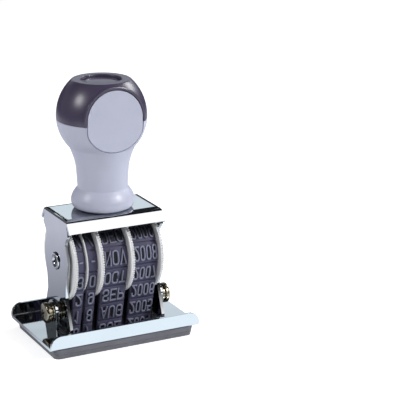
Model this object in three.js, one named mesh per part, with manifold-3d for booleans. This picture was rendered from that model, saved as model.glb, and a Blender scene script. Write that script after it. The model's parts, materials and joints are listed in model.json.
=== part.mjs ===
// Hand date stamp with four band wheels: a chromed frame under a ball handle, four printing bands
// over a bridge, and a die plate with a rubber die that slides in height round the date.
// Millimetres, +Z up. X runs along the plate and the front is -Y. The origin is the middle of the
// footprint, on the paper.

import * as THREE from "three";
import { mergeVertices } from "three/addons/utils/BufferGeometryUtils.js";
import Module from "manifold-3d";

const wasm = await Module();
wasm.setup();

// Die plate: a chromed channel with two lips, open at its ends
const plateLength = 54;
const plateDepth = 36.2;
const plateSheet = 1;
const plateBend = 1.4;
const lipHeight = 5;
const lipCorner = 3.6;
const windowLength = 36.6;
const windowDepth = 15;
const windowCorner = 1.2;

// Rubber under the plate
const dieRelief = 0.6;
const dieBacking = 0.8;
const cushionThickness = 2;
const cushionInsetX = 1.5;
const cushionInsetY = 0.8;
const cushionDraft = 0.5;
const cushionCorner = 1.8;
const dieWindowLength = 35;
const dieWindowDepth = 14.2;
const dieLine = 1.2;

// Frame: one bent sheet with two side plates and two sloping flanges
const frameLength = 34.6;
const frameOverAxle = 16.4;
const frameSheet = 1;
const frameBend = 1.2;
const frameTopDepth = 18.6;
const flangeReach = 2.9;
const flangeDrop = 4;
const reliefGap = 0.35;
const reliefDepth = 1.3;
const footRise = 1.3;

// Side plate outline, as half depths, with drops below the top and rises over the foot
const shoulderHalf = 10.4;
const shoulderDrop = 5.4;
const upperWaistHalf = 7.9;
const upperWaistDrop = 9;
const bulgeHalf = 9.7;
const bulgeOverAxle = 1.6;
const lowerWaistHalf = 8.1;
const lowerWaistUnderAxle = 6.6;
const flareHalf = 7.7;
const flareRise = 10.6;
const footHalf = 11.2;
const footEdge = 1.3;

// Axle, wheels and bands
const axleHeight = 28;
const axleRadius = 1.5;
const axleHeadRadius = 3;
const axleHeadBevel = 0.3;
const axleHeadThickness = 0.6;
const axleEyeRadius = 0.9;
const axleEyeDepth = 1;
const boreClearance = 0.12;
const wheelRadius = 13.6;
const toothDepth = 0.35;
const teeth = 96;
const endRim = 1.1;
const innerRim = 1.5;
const flangeRadius = 12.3;
const flangeThickness = 0.5;
const drumRadius = 9.9;
const sideGap = 0.25;
const wheelGap = 0.2;
const bandEdgeGap = 0.15;
const dayBandWidth = 3.3;
const monthBandWidth = 9;
const bandClearance = 0.2;
const bandBase = 0.8;
const bandPad = 0.4;
const bandType = 0.5;
const bandGroove = 0.5;
const bandRamp = 0.1;
const bandCells = 14;
const bandCreep = -2.3;

// Bridge that carries the bands over the paper
const bridgeHalf = 3.8;
const bridgeCorner = 1;
const bridgeUnderScrew = 0.3;
const bridgeEndGap = 0.3;
const tenonWidth = 2.2;
const tenonHeight = 1.4;
const tenonOffset = 2.6;
const tenonRise = 1.1;
const slotGap = 0.15;

// Clamp screws, washers, nuts and the ears of the die plate
const screwHeight = 10.8;
const screwForward = 1.5;
const screwRadius = 1.25;
const screwHeadRadius = 3.45;
const screwHeadThickness = 1.8;
const screwHeadDome = 0.4;
const screwTip = 0.2;
const recessWidth = 0.7;
const recessLength = 3.6;
const recessDepth = 0.8;
const screwClearance = 0.15;
const flatWasherRadius = 3.3;
const flatWasherThickness = 0.5;
const lockWasherRadius = 2.9;
const lockWasherThickness = 0.6;
const lockWasherSplit = 0.5;
const nutRadius = 3.1;
const nutThickness = 1.2;
const nutChamfer = 0.3;
const faceGap = 0.12;
const earThickness = 1;
const earHalfWidth = 3.5;
const earOverScrew = 4.2;
const plateTravel = 1;
const slideGap = 0.15;

// Handle, with heights over the frame's top
const handleTop = 43.7;
const ballHeight = 31.4;
const ballRadius = 15;
const ballCrown = 16;
const ballUnder = 14.9;
const throatHeight = 21.2;
const stemHeight = 15.5;
const stemRadius = 8.9;
const neckHeight = 9.2;
const neckRadius = 8.4;
const creaseHeight = 8.1;
const ringShoulderHeight = 6.1;
const ringShoulderRadius = 9.8;
const footRingHeight = 3.4;
const footRingRadius = 10.4;
const footBaseRadius = 8.8;
const footCurveHeight = 1.3;
const footCurveRadius = 9.95;
const splitHeight = 30.6;
const seamGap = 0.1;
const capWall = 2;
const capGap = 0.3;
const discRadius = 6.4;
const discDepth = 1;
const discThickness = 1.2;
const padRadius = 9.7;
const padLowerRadius = 10.7;
const padSwellShare = 0.6;
const padReach = 11;
const padRoot = 7.4;
const padHeight = 32.1;
const padCollar = 1.2;
const handleScrewRadius = 1.6;
const handleScrewLength = 14;
const handleScrewHead = 3.1;
const handleScrewHeadThickness = 1.3;
const handleScrewSocket = 1.2;
const handleScrewSlot = 0.6;
const handleScrewSlotDepth = 0.7;
const handleScrewBevel = 0.15;
const handleWasherRadius = 3.5;
const handleWasherThickness = 0.5;

// How finely the round stretches are cut
const roundSteps = 36;
const smallSteps = 20;
const curveSteps = 4;
const overrun = 1;

// Levels that several pieces share
const plateUnderside = dieRelief + dieBacking + cushionThickness;
const plateFloor = plateUnderside + plateSheet;
const footHeight = plateFloor + footRise;
const tenonBase = footHeight + tenonRise;
const frameTop = axleHeight + frameOverAxle;
const frameHalf = frameLength / 2;
const frameInside = frameHalf - frameSheet;
const topHalf = frameTopDepth / 2;
const bandInside = drumRadius + bandClearance;
const typeHeight = bandBase + bandPad + bandType;
const bridgeBottom = typeHeight + bandClearance;

// Colours and finishes
const chrome = new THREE.MeshStandardMaterial({ color: 0xdfe3ea, metalness: 1, roughness: 0.08 });
const steel = new THREE.MeshStandardMaterial({ color: 0xb9b6ae, metalness: 1, roughness: 0.3 });
const ivory = new THREE.MeshStandardMaterial({ color: 0xeceae6, metalness: 0, roughness: 0.4 });
const bandRubber = new THREE.MeshStandardMaterial({ color: 0x59536b, metalness: 0, roughness: 0.6 });
const greyRubber = new THREE.MeshStandardMaterial({ color: 0x777780, metalness: 0, roughness: 0.75 });
const paleShell = new THREE.MeshStandardMaterial({ color: 0xc9cbe4, metalness: 0, roughness: 0.35 });
const darkShell = new THREE.MeshStandardMaterial({ color: 0x4a4154, metalness: 0, roughness: 0.3 });
const bridgeSteel = new THREE.MeshStandardMaterial({ color: 0x4b4b50, metalness: 1, roughness: 0.4 });

// Solids from three.js geometry: doubles merged, flat triangles dropped, faces pointing out
function solidOf(geometry) {
  geometry.deleteAttribute("normal");
  geometry.deleteAttribute("uv");
  const merged = mergeVertices(geometry);
  const places = merged.attributes.position;
  const corner = [0, 1, 2].map(() => new THREE.Vector3());
  const triangles = [];
  let volume = 0;
  for (let i = 0; i < merged.index.count; i += 3) {
    const trio = [0, 1, 2].map((k) => merged.index.getX(i + k));
    if (new Set(trio).size < 3) continue;
    trio.forEach((vertex, k) => corner[k].fromBufferAttribute(places, vertex));
    volume += corner[0].dot(corner[1].clone().cross(corner[2]));
    triangles.push(trio);
  }
  const facing = volume < 0 ? triangles.map(([a, b, c]) => [a, c, b]) : triangles;
  return new wasm.Manifold(new wasm.Mesh({
    numProp: 3,
    vertProperties: Float32Array.from(places.array),
    triVerts: Uint32Array.from(facing.flat()),
  }));
}

function geometryOf(solid) {
  const mesh = solid.getMesh();
  const geometry = new THREE.BufferGeometry();
  geometry.setAttribute("position", new THREE.BufferAttribute(mesh.vertProperties, 3));
  geometry.setIndex(new THREE.BufferAttribute(mesh.triVerts, 1));
  geometry.computeVertexNormals();
  return geometry;
}

// Turns of the extrusion and of the lathe: an outline drawn in (Y, Z) runs along X, and one in
// (X, Z) runs along Y
const X = new THREE.Vector3(1, 0, 0);
const Y = new THREE.Vector3(0, 1, 0);
const Z = new THREE.Vector3(0, 0, 1);
const outlineAcrossX = new THREE.Matrix4().makeBasis(Y, Z, X);
const outlineAcrossY = new THREE.Matrix4().makeBasis(X, Z, Y.clone().negate());
const latheAboutX = new THREE.Matrix4().makeBasis(Y, X, Z.clone().negate());

function extrude(shape, depth) {
  return new THREE.ExtrudeGeometry(shape, { depth, bevelEnabled: false, curveSegments: curveSteps });
}

function alongX(shape, from, to) {
  return solidOf(extrude(shape, to - from).applyMatrix4(outlineAcrossX).translate(from, 0, 0));
}

function alongY(shape, from, to) {
  return solidOf(extrude(shape, to - from).applyMatrix4(outlineAcrossY).translate(0, to, 0));
}

function alongZ(shape, from, to) {
  return solidOf(extrude(shape, to - from).translate(0, 0, from));
}

function lathe(profile, steps) {
  const points = profile.map(([radius, along]) => new THREE.Vector2(radius, along));
  return new THREE.LatheGeometry(points, steps);
}

function turnedZ(profile, steps = roundSteps) {
  return solidOf(lathe(profile, steps).applyMatrix4(outlineAcrossY));
}

function turnedX(profile, steps = smallSteps) {
  return solidOf(lathe(profile, steps).applyMatrix4(latheAboutX));
}

// A round bar, or a ring when it has an inner radius, between two places on its axis
function barProfile(radius, from, to) {
  return [[0, from], [radius, from], [radius, to], [0, to]];
}

function ringProfile(inner, outer, from, to) {
  return [[inner, from], [outer, from], [outer, to], [inner, to], [inner, from]];
}

function outline(points) {
  return new THREE.Shape(points.map(([a, b]) => new THREE.Vector2(a, b)));
}

function rectangle(left, right, low, high) {
  return outline([[left, low], [right, low], [right, high], [left, high]]);
}

function roundedRectangle(halfA, halfB, radius, centreB = 0) {
  const shape = new THREE.Shape();
  const quarter = Math.PI / 2;
  const corners = [[1, 1], [-1, 1], [-1, -1], [1, -1]];
  corners.forEach(([a, b], k) => {
    const middleA = a * (halfA - radius);
    const middleB = centreB + b * (halfB - radius);
    shape.absarc(middleA, middleB, radius, k * quarter, (k + 1) * quarter);
  });
  return shape;
}

function block(halfX, halfY, low, high) {
  return alongZ(rectangle(-halfX, halfX, -halfY, halfY), low, high);
}

function add(solids) {
  return solids.reduce((whole, solid) => whole.add(solid));
}

// Die plate
// A channel's outline: flat floor, two upright walls, round at the two floor corners
function channel(half, floor, top, radius) {
  const shape = new THREE.Shape();
  shape.moveTo(half, top);
  shape.lineTo(-half, top);
  shape.lineTo(-half, floor + radius);
  shape.absarc(-half + radius, floor + radius, radius, Math.PI, Math.PI * 1.5);
  shape.absarc(half - radius, floor + radius, radius, Math.PI * 1.5, Math.PI * 2);
  return shape;
}

const plateHalfX = plateLength / 2;
const plateHalfY = plateDepth / 2;
const lipTop = plateUnderside + lipHeight;
const nutFace = frameHalf + faceGap + nutThickness;
const earInside = nutFace + slideGap;
const earOutside = earInside + earThickness;
const flatWasherInside = earOutside + slideGap;
const lockWasherInside = flatWasherInside + flatWasherThickness + faceGap;
const lockWasherOutside = lockWasherInside + lockWasherThickness;
const headInside = lockWasherOutside + faceGap;
const earTop = screwHeight + earOverScrew;
const earSlotHalf = screwRadius + screwClearance;
const earSlotReach = earSlotHalf + plateTravel + screwClearance;

function earOutline() {
  const shape = new THREE.Shape();
  const round = earHalfWidth;
  shape.moveTo(-screwForward - round, plateUnderside);
  shape.lineTo(-screwForward + round, plateUnderside);
  shape.absarc(-screwForward, earTop - round, round, 0, Math.PI);
  return shape;
}

function ear(side) {
  const [from, to] = side > 0 ? [earInside, earOutside] : [-earOutside, -earInside];
  const slot = alongX(roundedRectangle(earSlotHalf, earSlotReach, earSlotHalf, screwHeight),
    from - overrun, to + overrun);
  return alongX(earOutline(), from, to).subtract(slot.translate([0, -screwForward, 0]));
}

function diePlate() {
  const outside = channel(plateHalfY, plateUnderside, lipTop, plateBend);
  const inside = channel(plateHalfY - plateSheet, plateFloor, lipTop + overrun, plateBend - plateSheet);
  const sheet = alongX(outside, -plateHalfX, plateHalfX)
    .subtract(alongX(inside, -plateHalfX - overrun, plateHalfX + overrun));
  const sideView = new THREE.Shape();
  const low = plateUnderside - overrun;
  sideView.moveTo(-plateHalfX, low);
  sideView.lineTo(plateHalfX, low);
  sideView.absarc(plateHalfX - lipCorner, lipTop - lipCorner, lipCorner, 0, Math.PI / 2);
  sideView.absarc(-plateHalfX + lipCorner, lipTop - lipCorner, lipCorner, Math.PI / 2, Math.PI);
  const trimmed = sheet.intersect(alongY(sideView, -plateHalfY - overrun, plateHalfY + overrun));
  const window = roundedRectangle(windowLength / 2, windowDepth / 2, windowCorner);
  const opened = trimmed.subtract(alongZ(window, low, plateFloor + overrun));
  return add([opened, ear(1), ear(-1)]);
}

// Rubber: a cushion with sloping sides, and the die moulded in relief under it
function loftZ(rings) {
  const around = rings[0].points.length;
  const places = [];
  rings.forEach((ring) => ring.points.forEach((p) => places.push(p.x, p.y, ring.height)));
  const index = [];
  for (let level = 0; level + 1 < rings.length; level += 1) {
    for (let i = 0; i < around; i += 1) {
      const a = level * around + i;
      const b = level * around + ((i + 1) % around);
      index.push(a, b, b + around, a, b + around, a + around);
    }
  }
  const last = (rings.length - 1) * around;
  THREE.ShapeUtils.triangulateShape(rings[0].points, []).forEach(([a, b, c]) => {
    index.push(a, c, b, last + a, last + b, last + c);
  });
  const geometry = new THREE.BufferGeometry();
  geometry.setAttribute("position", new THREE.Float32BufferAttribute(places, 3));
  geometry.setIndex(index);
  return solidOf(geometry);
}

function rubberRing(height) {
  const draft = cushionDraft * (1 - height / plateUnderside);
  const halfX = plateHalfX - cushionInsetX - draft;
  const halfY = plateHalfY - cushionInsetY - draft;
  const shape = roundedRectangle(halfX, halfY, cushionCorner);
  const points = shape.getPoints(curveSteps);
  const unique = points.filter((p, i) => i === 0 || !p.equals(points[i - 1]));
  if (unique[0].equals(unique[unique.length - 1])) unique.pop();
  return { points: unique, height };
}

const dieTop = dieRelief + dieBacking;

function rubberWindow(low, high) {
  return alongZ(roundedRectangle(dieWindowLength / 2, dieWindowDepth / 2, windowCorner), low, high);
}

function cushion() {
  const body = loftZ([rubberRing(dieTop), rubberRing(plateUnderside)]);
  return body.subtract(rubberWindow(-overrun, plateUnderside + overrun));
}

// A raised printing line that runs round a rectangle
function reliefFrame(halfX, halfY, corner) {
  const inner = roundedRectangle(halfX - dieLine, halfY - dieLine, corner);
  return alongZ(roundedRectangle(halfX, halfY, corner), 0, dieTop)
    .subtract(alongZ(inner, -overrun, dieTop + overrun));
}

function textDie() {
  const backing = loftZ([rubberRing(dieRelief), rubberRing(dieTop)])
    .subtract(rubberWindow(-overrun, dieTop + overrun));
  const outer = reliefFrame(plateHalfX - cushionInsetX - cushionDraft,
    plateHalfY - cushionInsetY - cushionDraft, cushionCorner);
  const inner = reliefFrame(dieWindowLength / 2 + dieLine * 2, dieWindowDepth / 2 + dieLine * 2,
    windowCorner);
  return add([backing, outer, inner]);
}

// Frame
// An arch's outline: open below, round at the two top corners
function arch(half, low, top, radius) {
  const shape = new THREE.Shape();
  shape.moveTo(-half, low);
  shape.lineTo(half, low);
  shape.absarc(half - radius, top - radius, radius, 0, Math.PI / 2);
  shape.absarc(-half + radius, top - radius, radius, Math.PI / 2, Math.PI);
  return shape;
}

const flangeLength = Math.hypot(flangeReach, flangeDrop);
const flangeOut = [flangeReach / flangeLength, -flangeDrop / flangeLength];
const flangeIn = [-flangeDrop / flangeLength, -flangeReach / flangeLength];

// The inside face of a flange at a drop below the top, as a half depth
function flangeInside(drop) {
  return topHalf + (drop * flangeReach) / flangeDrop - (frameSheet * flangeLength) / flangeDrop;
}

// One flange in (Y, Z), drawn on the +Y side: a flat stretch of the top, a bend and the slope
function flangeOutline() {
  const tail = topHalf - frameBend * 2;
  const innerBend = frameBend - frameSheet / 2;
  const tip = [topHalf + flangeReach, frameTop - flangeDrop];
  const innerTip = [tip[0] + flangeIn[0] * frameSheet, tip[1] + flangeIn[1] * frameSheet];
  const innerCorner = [flangeInside(frameSheet), frameTop - frameSheet];
  const shape = new THREE.Shape();
  shape.moveTo(tail, frameTop);
  shape.lineTo(tail, frameTop - frameSheet);
  shape.lineTo(innerCorner[0] - innerBend, innerCorner[1]);
  shape.quadraticCurveTo(innerCorner[0], innerCorner[1],
    innerCorner[0] + flangeOut[0] * innerBend, innerCorner[1] + flangeOut[1] * innerBend);
  shape.lineTo(innerTip[0], innerTip[1]);
  shape.lineTo(tip[0], tip[1]);
  shape.lineTo(topHalf + flangeOut[0] * frameBend, frameTop + flangeOut[1] * frameBend);
  shape.quadraticCurveTo(topHalf, frameTop, topHalf - frameBend, frameTop);
  return shape;
}

// The side plate's half outline from the top down to the foot, as half depth and height
function sideEdge() {
  const reliefHalf = flangeInside(frameSheet + reliefDepth) - reliefGap;
  const waist = [
    [shoulderHalf, frameTop - shoulderDrop],
    [upperWaistHalf, frameTop - upperWaistDrop],
    [bulgeHalf, axleHeight + bulgeOverAxle],
    [lowerWaistHalf, axleHeight - lowerWaistUnderAxle],
    [flareHalf, footHeight + flareRise],
  ].map(([half, height]) => new THREE.Vector2(half, height));
  const curve = new THREE.SplineCurve(waist).getPoints(curveSteps * waist.length);
  return [
    new THREE.Vector2(reliefHalf, frameTop),
    new THREE.Vector2(reliefHalf, frameTop - frameSheet - reliefDepth),
    ...curve,
    new THREE.Vector2(footHalf, footHeight + footEdge),
    new THREE.Vector2(footHalf, footHeight),
  ];
}

function frameShell() {
  const edge = sideEdge();
  const mirrored = edge.map((p) => new THREE.Vector2(-p.x, p.y)).reverse();
  const sideView = new THREE.Shape([...edge, ...mirrored]);
  const envelope = alongY(arch(frameHalf, footHeight, frameTop, frameBend), -plateHalfY, plateHalfY);
  const hollow = alongY(arch(frameInside, footHeight - overrun, frameTop - frameSheet,
    frameBend - frameSheet / 2), -plateHalfY - overrun, plateHalfY + overrun);
  const sides = envelope.subtract(hollow).intersect(alongX(sideView, -frameHalf, frameHalf));
  const top = alongZ(rectangle(-frameHalf, frameHalf, -topHalf + frameBend, topHalf - frameBend),
    frameTop - frameSheet, frameTop).intersect(envelope);
  const back = alongX(flangeOutline(), -frameHalf, frameHalf).intersect(envelope);
  const front = back.mirror([0, 1, 0]);
  const reach = frameHalf + overrun;
  const axleHole = turnedX(barProfile(axleRadius + boreClearance, -reach, reach))
    .translate([0, 0, axleHeight]);
  const screwHole = turnedX(barProfile(screwRadius + screwClearance, -reach, reach))
    .translate([0, -screwForward, screwHeight]);
  const handleHole = turnedZ(barProfile(handleScrewRadius + boreClearance,
    frameTop - frameSheet - overrun, frameTop + overrun), smallSteps);
  const slots = [-1, 1].map((side) => {
    const middle = side * tenonOffset;
    const half = tenonWidth / 2 + slotGap;
    const low = tenonBase - slotGap;
    const hole = rectangle(middle - half, middle + half, low, low + tenonHeight + slotGap * 2);
    return alongX(hole, -reach, reach);
  });
  const holes = add([axleHole, screwHole, handleHole, ...slots]);
  return add([sides, top, back, front]).subtract(holes);
}

// Handle: a body with a neck and foot ring, a dark cap over its crown, and a disc in the cap's top
// The outside of the ball at a height over the frame, as a radius
function ballAt(height, shrink = 0) {
  const half = height > ballHeight ? ballCrown : ballUnder;
  const share = (height - ballHeight) / (half - shrink);
  return (ballRadius - shrink) * Math.sqrt(Math.max(0, 1 - share * share));
}

const ballSteps = 6;

function ballStretch(from, to, shrink = 0) {
  return Array.from({ length: ballSteps + 1 }, (_, i) => {
    const height = from + ((to - from) * i) / ballSteps;
    return [ballAt(height, shrink), height];
  });
}

// The profile from the foot ring up to the throat, as a smooth curve through named places
function lowerProfile() {
  const knots = [
    [footBaseRadius, 0],
    [footCurveRadius, footCurveHeight],
    [footRingRadius, footRingHeight],
    [ringShoulderRadius, ringShoulderHeight],
    [neckRadius + seamGap, creaseHeight],
    [neckRadius, neckHeight],
    [stemRadius, stemHeight],
    [ballAt(throatHeight), throatHeight],
  ].map(([radius, height]) => new THREE.Vector2(radius, height));
  return new THREE.SplineCurve(knots).getPoints(knots.length * 2).map((p) => [p.x, p.y]);
}

// The pad's outline, drawn in (X, Z): a circle that swells a little in its lower half
function padOutline(grow) {
  const points = Array.from({ length: roundSteps }, (_, i) => {
    const angle = (i / roundSteps) * Math.PI * 2;
    const swell = THREE.MathUtils.smoothstep(-Math.sin(angle), 0, padSwellShare);
    const radius = padRadius + (padLowerRadius - padRadius) * swell + grow;
    return [radius * Math.cos(angle), padHeight + radius * Math.sin(angle)];
  });
  return outline(points);
}

// The pad as a slab on both faces of the ball, between two half depths
function padSlabs(grow, near, far) {
  const back = alongY(padOutline(grow), near, far);
  return back.add(back.mirror([0, 1, 0]));
}

const discTop = handleTop - discDepth;
const discSeat = discTop - discThickness - seamGap;
const roof = discSeat - capWall;
const farOut = ballRadius * 2;

function handleBody() {
  const crown = capWall + capGap;
  const spigotTop = roof - capGap;
  const core = turnedZ([
    [0, 0],
    ...lowerProfile(),
    ...ballStretch(throatHeight, splitHeight).slice(1),
    ...ballStretch(splitHeight, spigotTop, crown),
    [0, spigotTop],
  ]);
  const beyond = padSlabs(0, padReach, farOut);
  const hole = turnedZ(barProfile(handleScrewRadius + boreClearance, -overrun,
    handleScrewLength + overrun), smallSteps);
  return core.add(padSlabs(0, padRoot, padReach)).subtract(beyond).subtract(hole);
}

function handleCap() {
  const seat = splitHeight + seamGap;
  const ball = turnedZ([[0, seat], ...ballStretch(seat, handleTop), [0, handleTop]]);
  const above = turnedZ(barProfile(farOut, seat, handleTop));
  const collar = padSlabs(padCollar, padRoot, padReach).intersect(above);
  const inside = turnedZ([
    [0, splitHeight - overrun],
    [ballAt(seat, capWall), splitHeight - overrun],
    ...ballStretch(seat, roof, capWall),
    [0, roof],
  ]);
  const recess = turnedZ(barProfile(discRadius + capGap, discSeat, handleTop + overrun));
  const opening = padSlabs(capGap, padRoot - capGap, farOut);
  return ball.add(collar).subtract(inside).subtract(opening).subtract(recess);
}

function topDisc() {
  return turnedZ(barProfile(discRadius, discTop - discThickness, discTop));
}

// Fasteners
function handleScrew() {
  const under = -frameSheet - handleWasherThickness - faceGap * 2;
  const head = under - handleScrewHeadThickness;
  const rim = handleScrewHead - handleScrewBevel;
  const body = turnedZ([[0, head], [rim, head], [handleScrewHead, head + handleScrewBevel],
    [handleScrewHead, under], [handleScrewRadius, under], [handleScrewRadius, handleScrewLength],
    [0, handleScrewLength]], smallSteps);
  const bar = block(handleScrewSocket, handleScrewSlot / 2, head - overrun,
    head + handleScrewSlotDepth);
  return body.subtract(bar).subtract(bar.rotate([0, 0, 90]));
}

function handleWasher() {
  const top = -frameSheet - faceGap;
  return turnedZ(ringProfile(handleScrewRadius + boreClearance, handleWasherRadius,
    top - handleWasherThickness, top), smallSteps);
}

function clampScrew() {
  const shoulder = headInside;
  const head = shoulder + screwHeadThickness;
  const tip = frameInside - screwTip;
  const body = turnedX([[0, tip], [screwRadius, tip], [screwRadius, shoulder],
    [screwHeadRadius, shoulder], [screwHeadRadius, head - screwHeadDome],
    [screwHeadRadius - screwHeadDome, head], [0, head]]);
  const bar = block(recessWidth / 2, recessLength / 2, head - recessDepth, head + overrun);
  const cross = bar.add(bar.rotate([0, 0, 90])).rotate([0, 90, 0]);
  return body.subtract(cross);
}

function flatWasher() {
  return turnedX(ringProfile(screwRadius + screwClearance, flatWasherRadius, flatWasherInside,
    flatWasherInside + flatWasherThickness));
}

function lockWasher() {
  const ring = turnedX(ringProfile(screwRadius + screwClearance, lockWasherRadius, lockWasherInside,
    lockWasherOutside));
  const split = rectangle(-lockWasherSplit / 2, lockWasherSplit / 2, 0, lockWasherRadius + overrun);
  return ring.subtract(alongX(split, lockWasherInside - overrun, lockWasherOutside + overrun));
}

function clampNut() {
  const from = frameHalf + faceGap;
  const bore = screwRadius + screwClearance;
  return turnedX([[bore, from], [nutRadius, from], [nutRadius, nutFace - nutChamfer],
    [nutRadius - nutChamfer, nutFace], [bore, nutFace], [bore, from]]);
}

// Axle, with a rolled head and an eye at each end
function axle() {
  const inner = frameHalf + faceGap;
  const outer = inner + axleHeadThickness;
  const head = axleHeadRadius;
  const half = [[axleEyeRadius, outer - axleEyeDepth], [axleEyeRadius, outer],
    [head - axleHeadBevel, outer], [head, outer - axleHeadBevel], [head, inner], [axleRadius, inner]];
  const mirrored = half.map(([radius, along]) => [radius, -along]);
  return turnedX([[0, -outer + axleEyeDepth], ...mirrored, ...half.reverse(),
    [0, outer - axleEyeDepth]]);
}

// Wheels
// The serrated edge: a tip and a root for each tooth, drawn in (Y, Z)
function rim(from, to) {
  const points = Array.from({ length: teeth * 2 }, (_, i) => {
    const angle = (i / (teeth * 2)) * Math.PI * 2;
    const radius = wheelRadius - (i % 2) * toothDepth;
    return [radius * Math.cos(angle), radius * Math.sin(angle)];
  });
  return alongX(outline(points), from, to);
}

// Each wheel's places along the axle, from the left side plate to the right one
const wheels = {};
wheels.day_tens = { start: -frameInside + sideGap, rim: endRim, rimFirst: true, band: dayBandWidth };
wheels.day_tens.bandStart = wheels.day_tens.start + endRim + bandEdgeGap;
wheels.day_tens.end = wheels.day_tens.bandStart + dayBandWidth + bandEdgeGap + flangeThickness;
wheels.day_units = { start: wheels.day_tens.end + wheelGap, rim: innerRim, band: dayBandWidth };
wheels.day_units.bandStart = wheels.day_units.start + bandEdgeGap;
wheels.day_units.end = wheels.day_units.bandStart + dayBandWidth + bandEdgeGap + innerRim;
wheels.month = { start: wheels.day_units.end + wheelGap, rim: innerRim, band: monthBandWidth };
wheels.month.bandStart = wheels.month.start + bandEdgeGap;
wheels.month.end = wheels.month.bandStart + monthBandWidth + bandEdgeGap + innerRim;
wheels.year = { start: wheels.month.end + wheelGap, rim: endRim };
wheels.year.bandStart = wheels.year.start + bandEdgeGap;
wheels.year.end = frameInside - sideGap;
wheels.year.band = wheels.year.end - endRim - bandEdgeGap - wheels.year.bandStart;

function wheel({ start, end, rim: rimWidth, rimFirst }) {
  const edge = rimFirst ? rim(start, start + rimWidth) : rim(end - rimWidth, end);
  const drum = turnedX(barProfile(drumRadius, start, end));
  const bore = turnedX(barProfile(axleRadius + boreClearance, start - overrun, end + overrun));
  const parts = [edge, drum];
  if (rimFirst) parts.push(turnedX(barProfile(flangeRadius, end - flangeThickness, end), roundSteps));
  return add(parts).subtract(bore);
}

// Bands
// The belt runs round the drum, straight down to the bridge's corner, under the bridge and back.
// A place on it is an arc length from the middle of the bridge, and an offset out from its inside.
const noseRadius = bridgeCorner + bandClearance;
const noseHalf = bridgeHalf - bridgeCorner;
const noseHeight = typeHeight + noseRadius;
const reachDown = axleHeight - noseHeight;
const slant = Math.asin((bandInside - noseRadius) / Math.hypot(noseHalf, reachDown))
  - Math.atan2(noseHalf, reachDown);
const neutral = bandBase / 2;
const noseTurn = Math.PI / 2 - slant;
const drumTurn = Math.PI / 2 + slant;
const straight = Math.sqrt(noseHalf ** 2 + reachDown ** 2 - (bandInside - noseRadius) ** 2);
const noseEnd = noseHalf + (noseRadius + neutral) * noseTurn;
const straightEnd = noseEnd + straight;
const halfBelt = straightEnd + (bandInside + neutral) * drumTurn;
const cellPitch = (halfBelt * 2) / bandCells;

// A point of the belt in (Y, Z), for an arc length along its neutral line
function beltPoint(along, offset) {
  const side = along < 0 ? -1 : 1;
  const length = Math.abs(along);
  let point;
  if (length <= noseHalf) {
    point = [length, noseHeight - noseRadius - offset];
  } else if (length <= noseEnd) {
    const turn = (length - noseHalf) / (noseRadius + neutral);
    const radius = noseRadius + offset;
    point = [noseHalf + radius * Math.sin(turn), noseHeight - radius * Math.cos(turn)];
  } else if (length <= straightEnd) {
    const run = length - noseEnd;
    const radius = noseRadius + offset;
    point = [noseHalf + radius * Math.cos(slant) + run * Math.sin(slant),
      noseHeight - radius * Math.sin(slant) + run * Math.cos(slant)];
  } else {
    const turn = (length - straightEnd) / (bandInside + neutral) - slant;
    const radius = bandInside + offset;
    point = [radius * Math.cos(turn), axleHeight + radius * Math.sin(turn)];
  }
  return [point[0] * side, point[1]];
}

// Arc lengths that keep the bends of one half of the belt round
const noseSteps = 5;
const drumSteps = 12;

function bendStops() {
  const stops = [];
  for (let i = 0; i <= noseSteps; i += 1) {
    stops.push(noseHalf + ((noseEnd - noseHalf) * i) / noseSteps);
  }
  for (let i = 0; i < drumSteps; i += 1) {
    stops.push(straightEnd + ((halfBelt - straightEnd) * i) / drumSteps);
  }
  return stops.concat(stops.map((stop) => -stop));
}

function beltOutside() {
  const stops = bendStops().sort((a, b) => a - b);
  const half = bandGroove / 2;
  const ramp = bandRamp;
  const points = [];
  for (let cell = 0; cell < bandCells; cell += 1) {
    const low = (cell - bandCells / 2) * cellPitch + bandCreep;
    const high = low + cellPitch;
    points.push([low, bandBase], [low + half - ramp, bandBase], [low + half, bandBase + bandPad]);
    stops.filter((along) => along > low + half + ramp && along < high - half - ramp)
      .forEach((along) => points.push([along, bandBase + bandPad]));
    points.push([high - half, bandBase + bandPad], [high - half + ramp, bandBase]);
  }
  return points.map(([along, offset]) => beltPoint(along, offset));
}

function beltInside() {
  return bendStops().sort((a, b) => a - b).concat([halfBelt]).map((along) => beltPoint(along, 0));
}

function band({ bandStart, band: width }) {
  const belt = outline(beltOutside());
  belt.holes.push(new THREE.Path(beltInside().map(([a, b]) => new THREE.Vector2(a, b))));
  return alongX(belt, bandStart, bandStart + width);
}

// Bridge: a bar with a round nose, held by two tenons in slots of each side plate
function bridge() {
  const low = bridgeBottom;
  const high = screwHeight - screwRadius - bridgeUnderScrew;
  const reach = frameInside - bridgeEndGap;
  const middle = (low + high) / 2;
  const section = roundedRectangle(bridgeHalf, (high - low) / 2, bridgeCorner, middle);
  const bar = alongX(section, -reach, reach);
  const tenons = [-1, 1].map((side) => {
    const centre = side * tenonOffset;
    const half = tenonWidth / 2;
    const tenon = rectangle(centre - half, centre + half, tenonBase, tenonBase + tenonHeight);
    return alongX(tenon, -frameHalf, frameHalf);
  });
  return add([bar, ...tenons]);
}

// Assembly
const stamp = new THREE.Group();

function piece(name, solid, material, parent = stamp) {
  const mesh = new THREE.Mesh(geometryOf(solid), material);
  mesh.name = name;
  parent.add(mesh);
  return mesh;
}

piece("frame_shell", frameShell(), chrome);

const handle = new THREE.Group();
handle.position.z = frameTop;
stamp.add(handle);
piece("handle_body", handleBody(), paleShell, handle);
piece("handle_cap", handleCap(), darkShell, handle);
piece("handle_top_disc", topDisc(), darkShell, handle);
piece("handle_screw", handleScrew(), steel, handle);
piece("handle_washer", handleWasher(), steel, handle);

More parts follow.
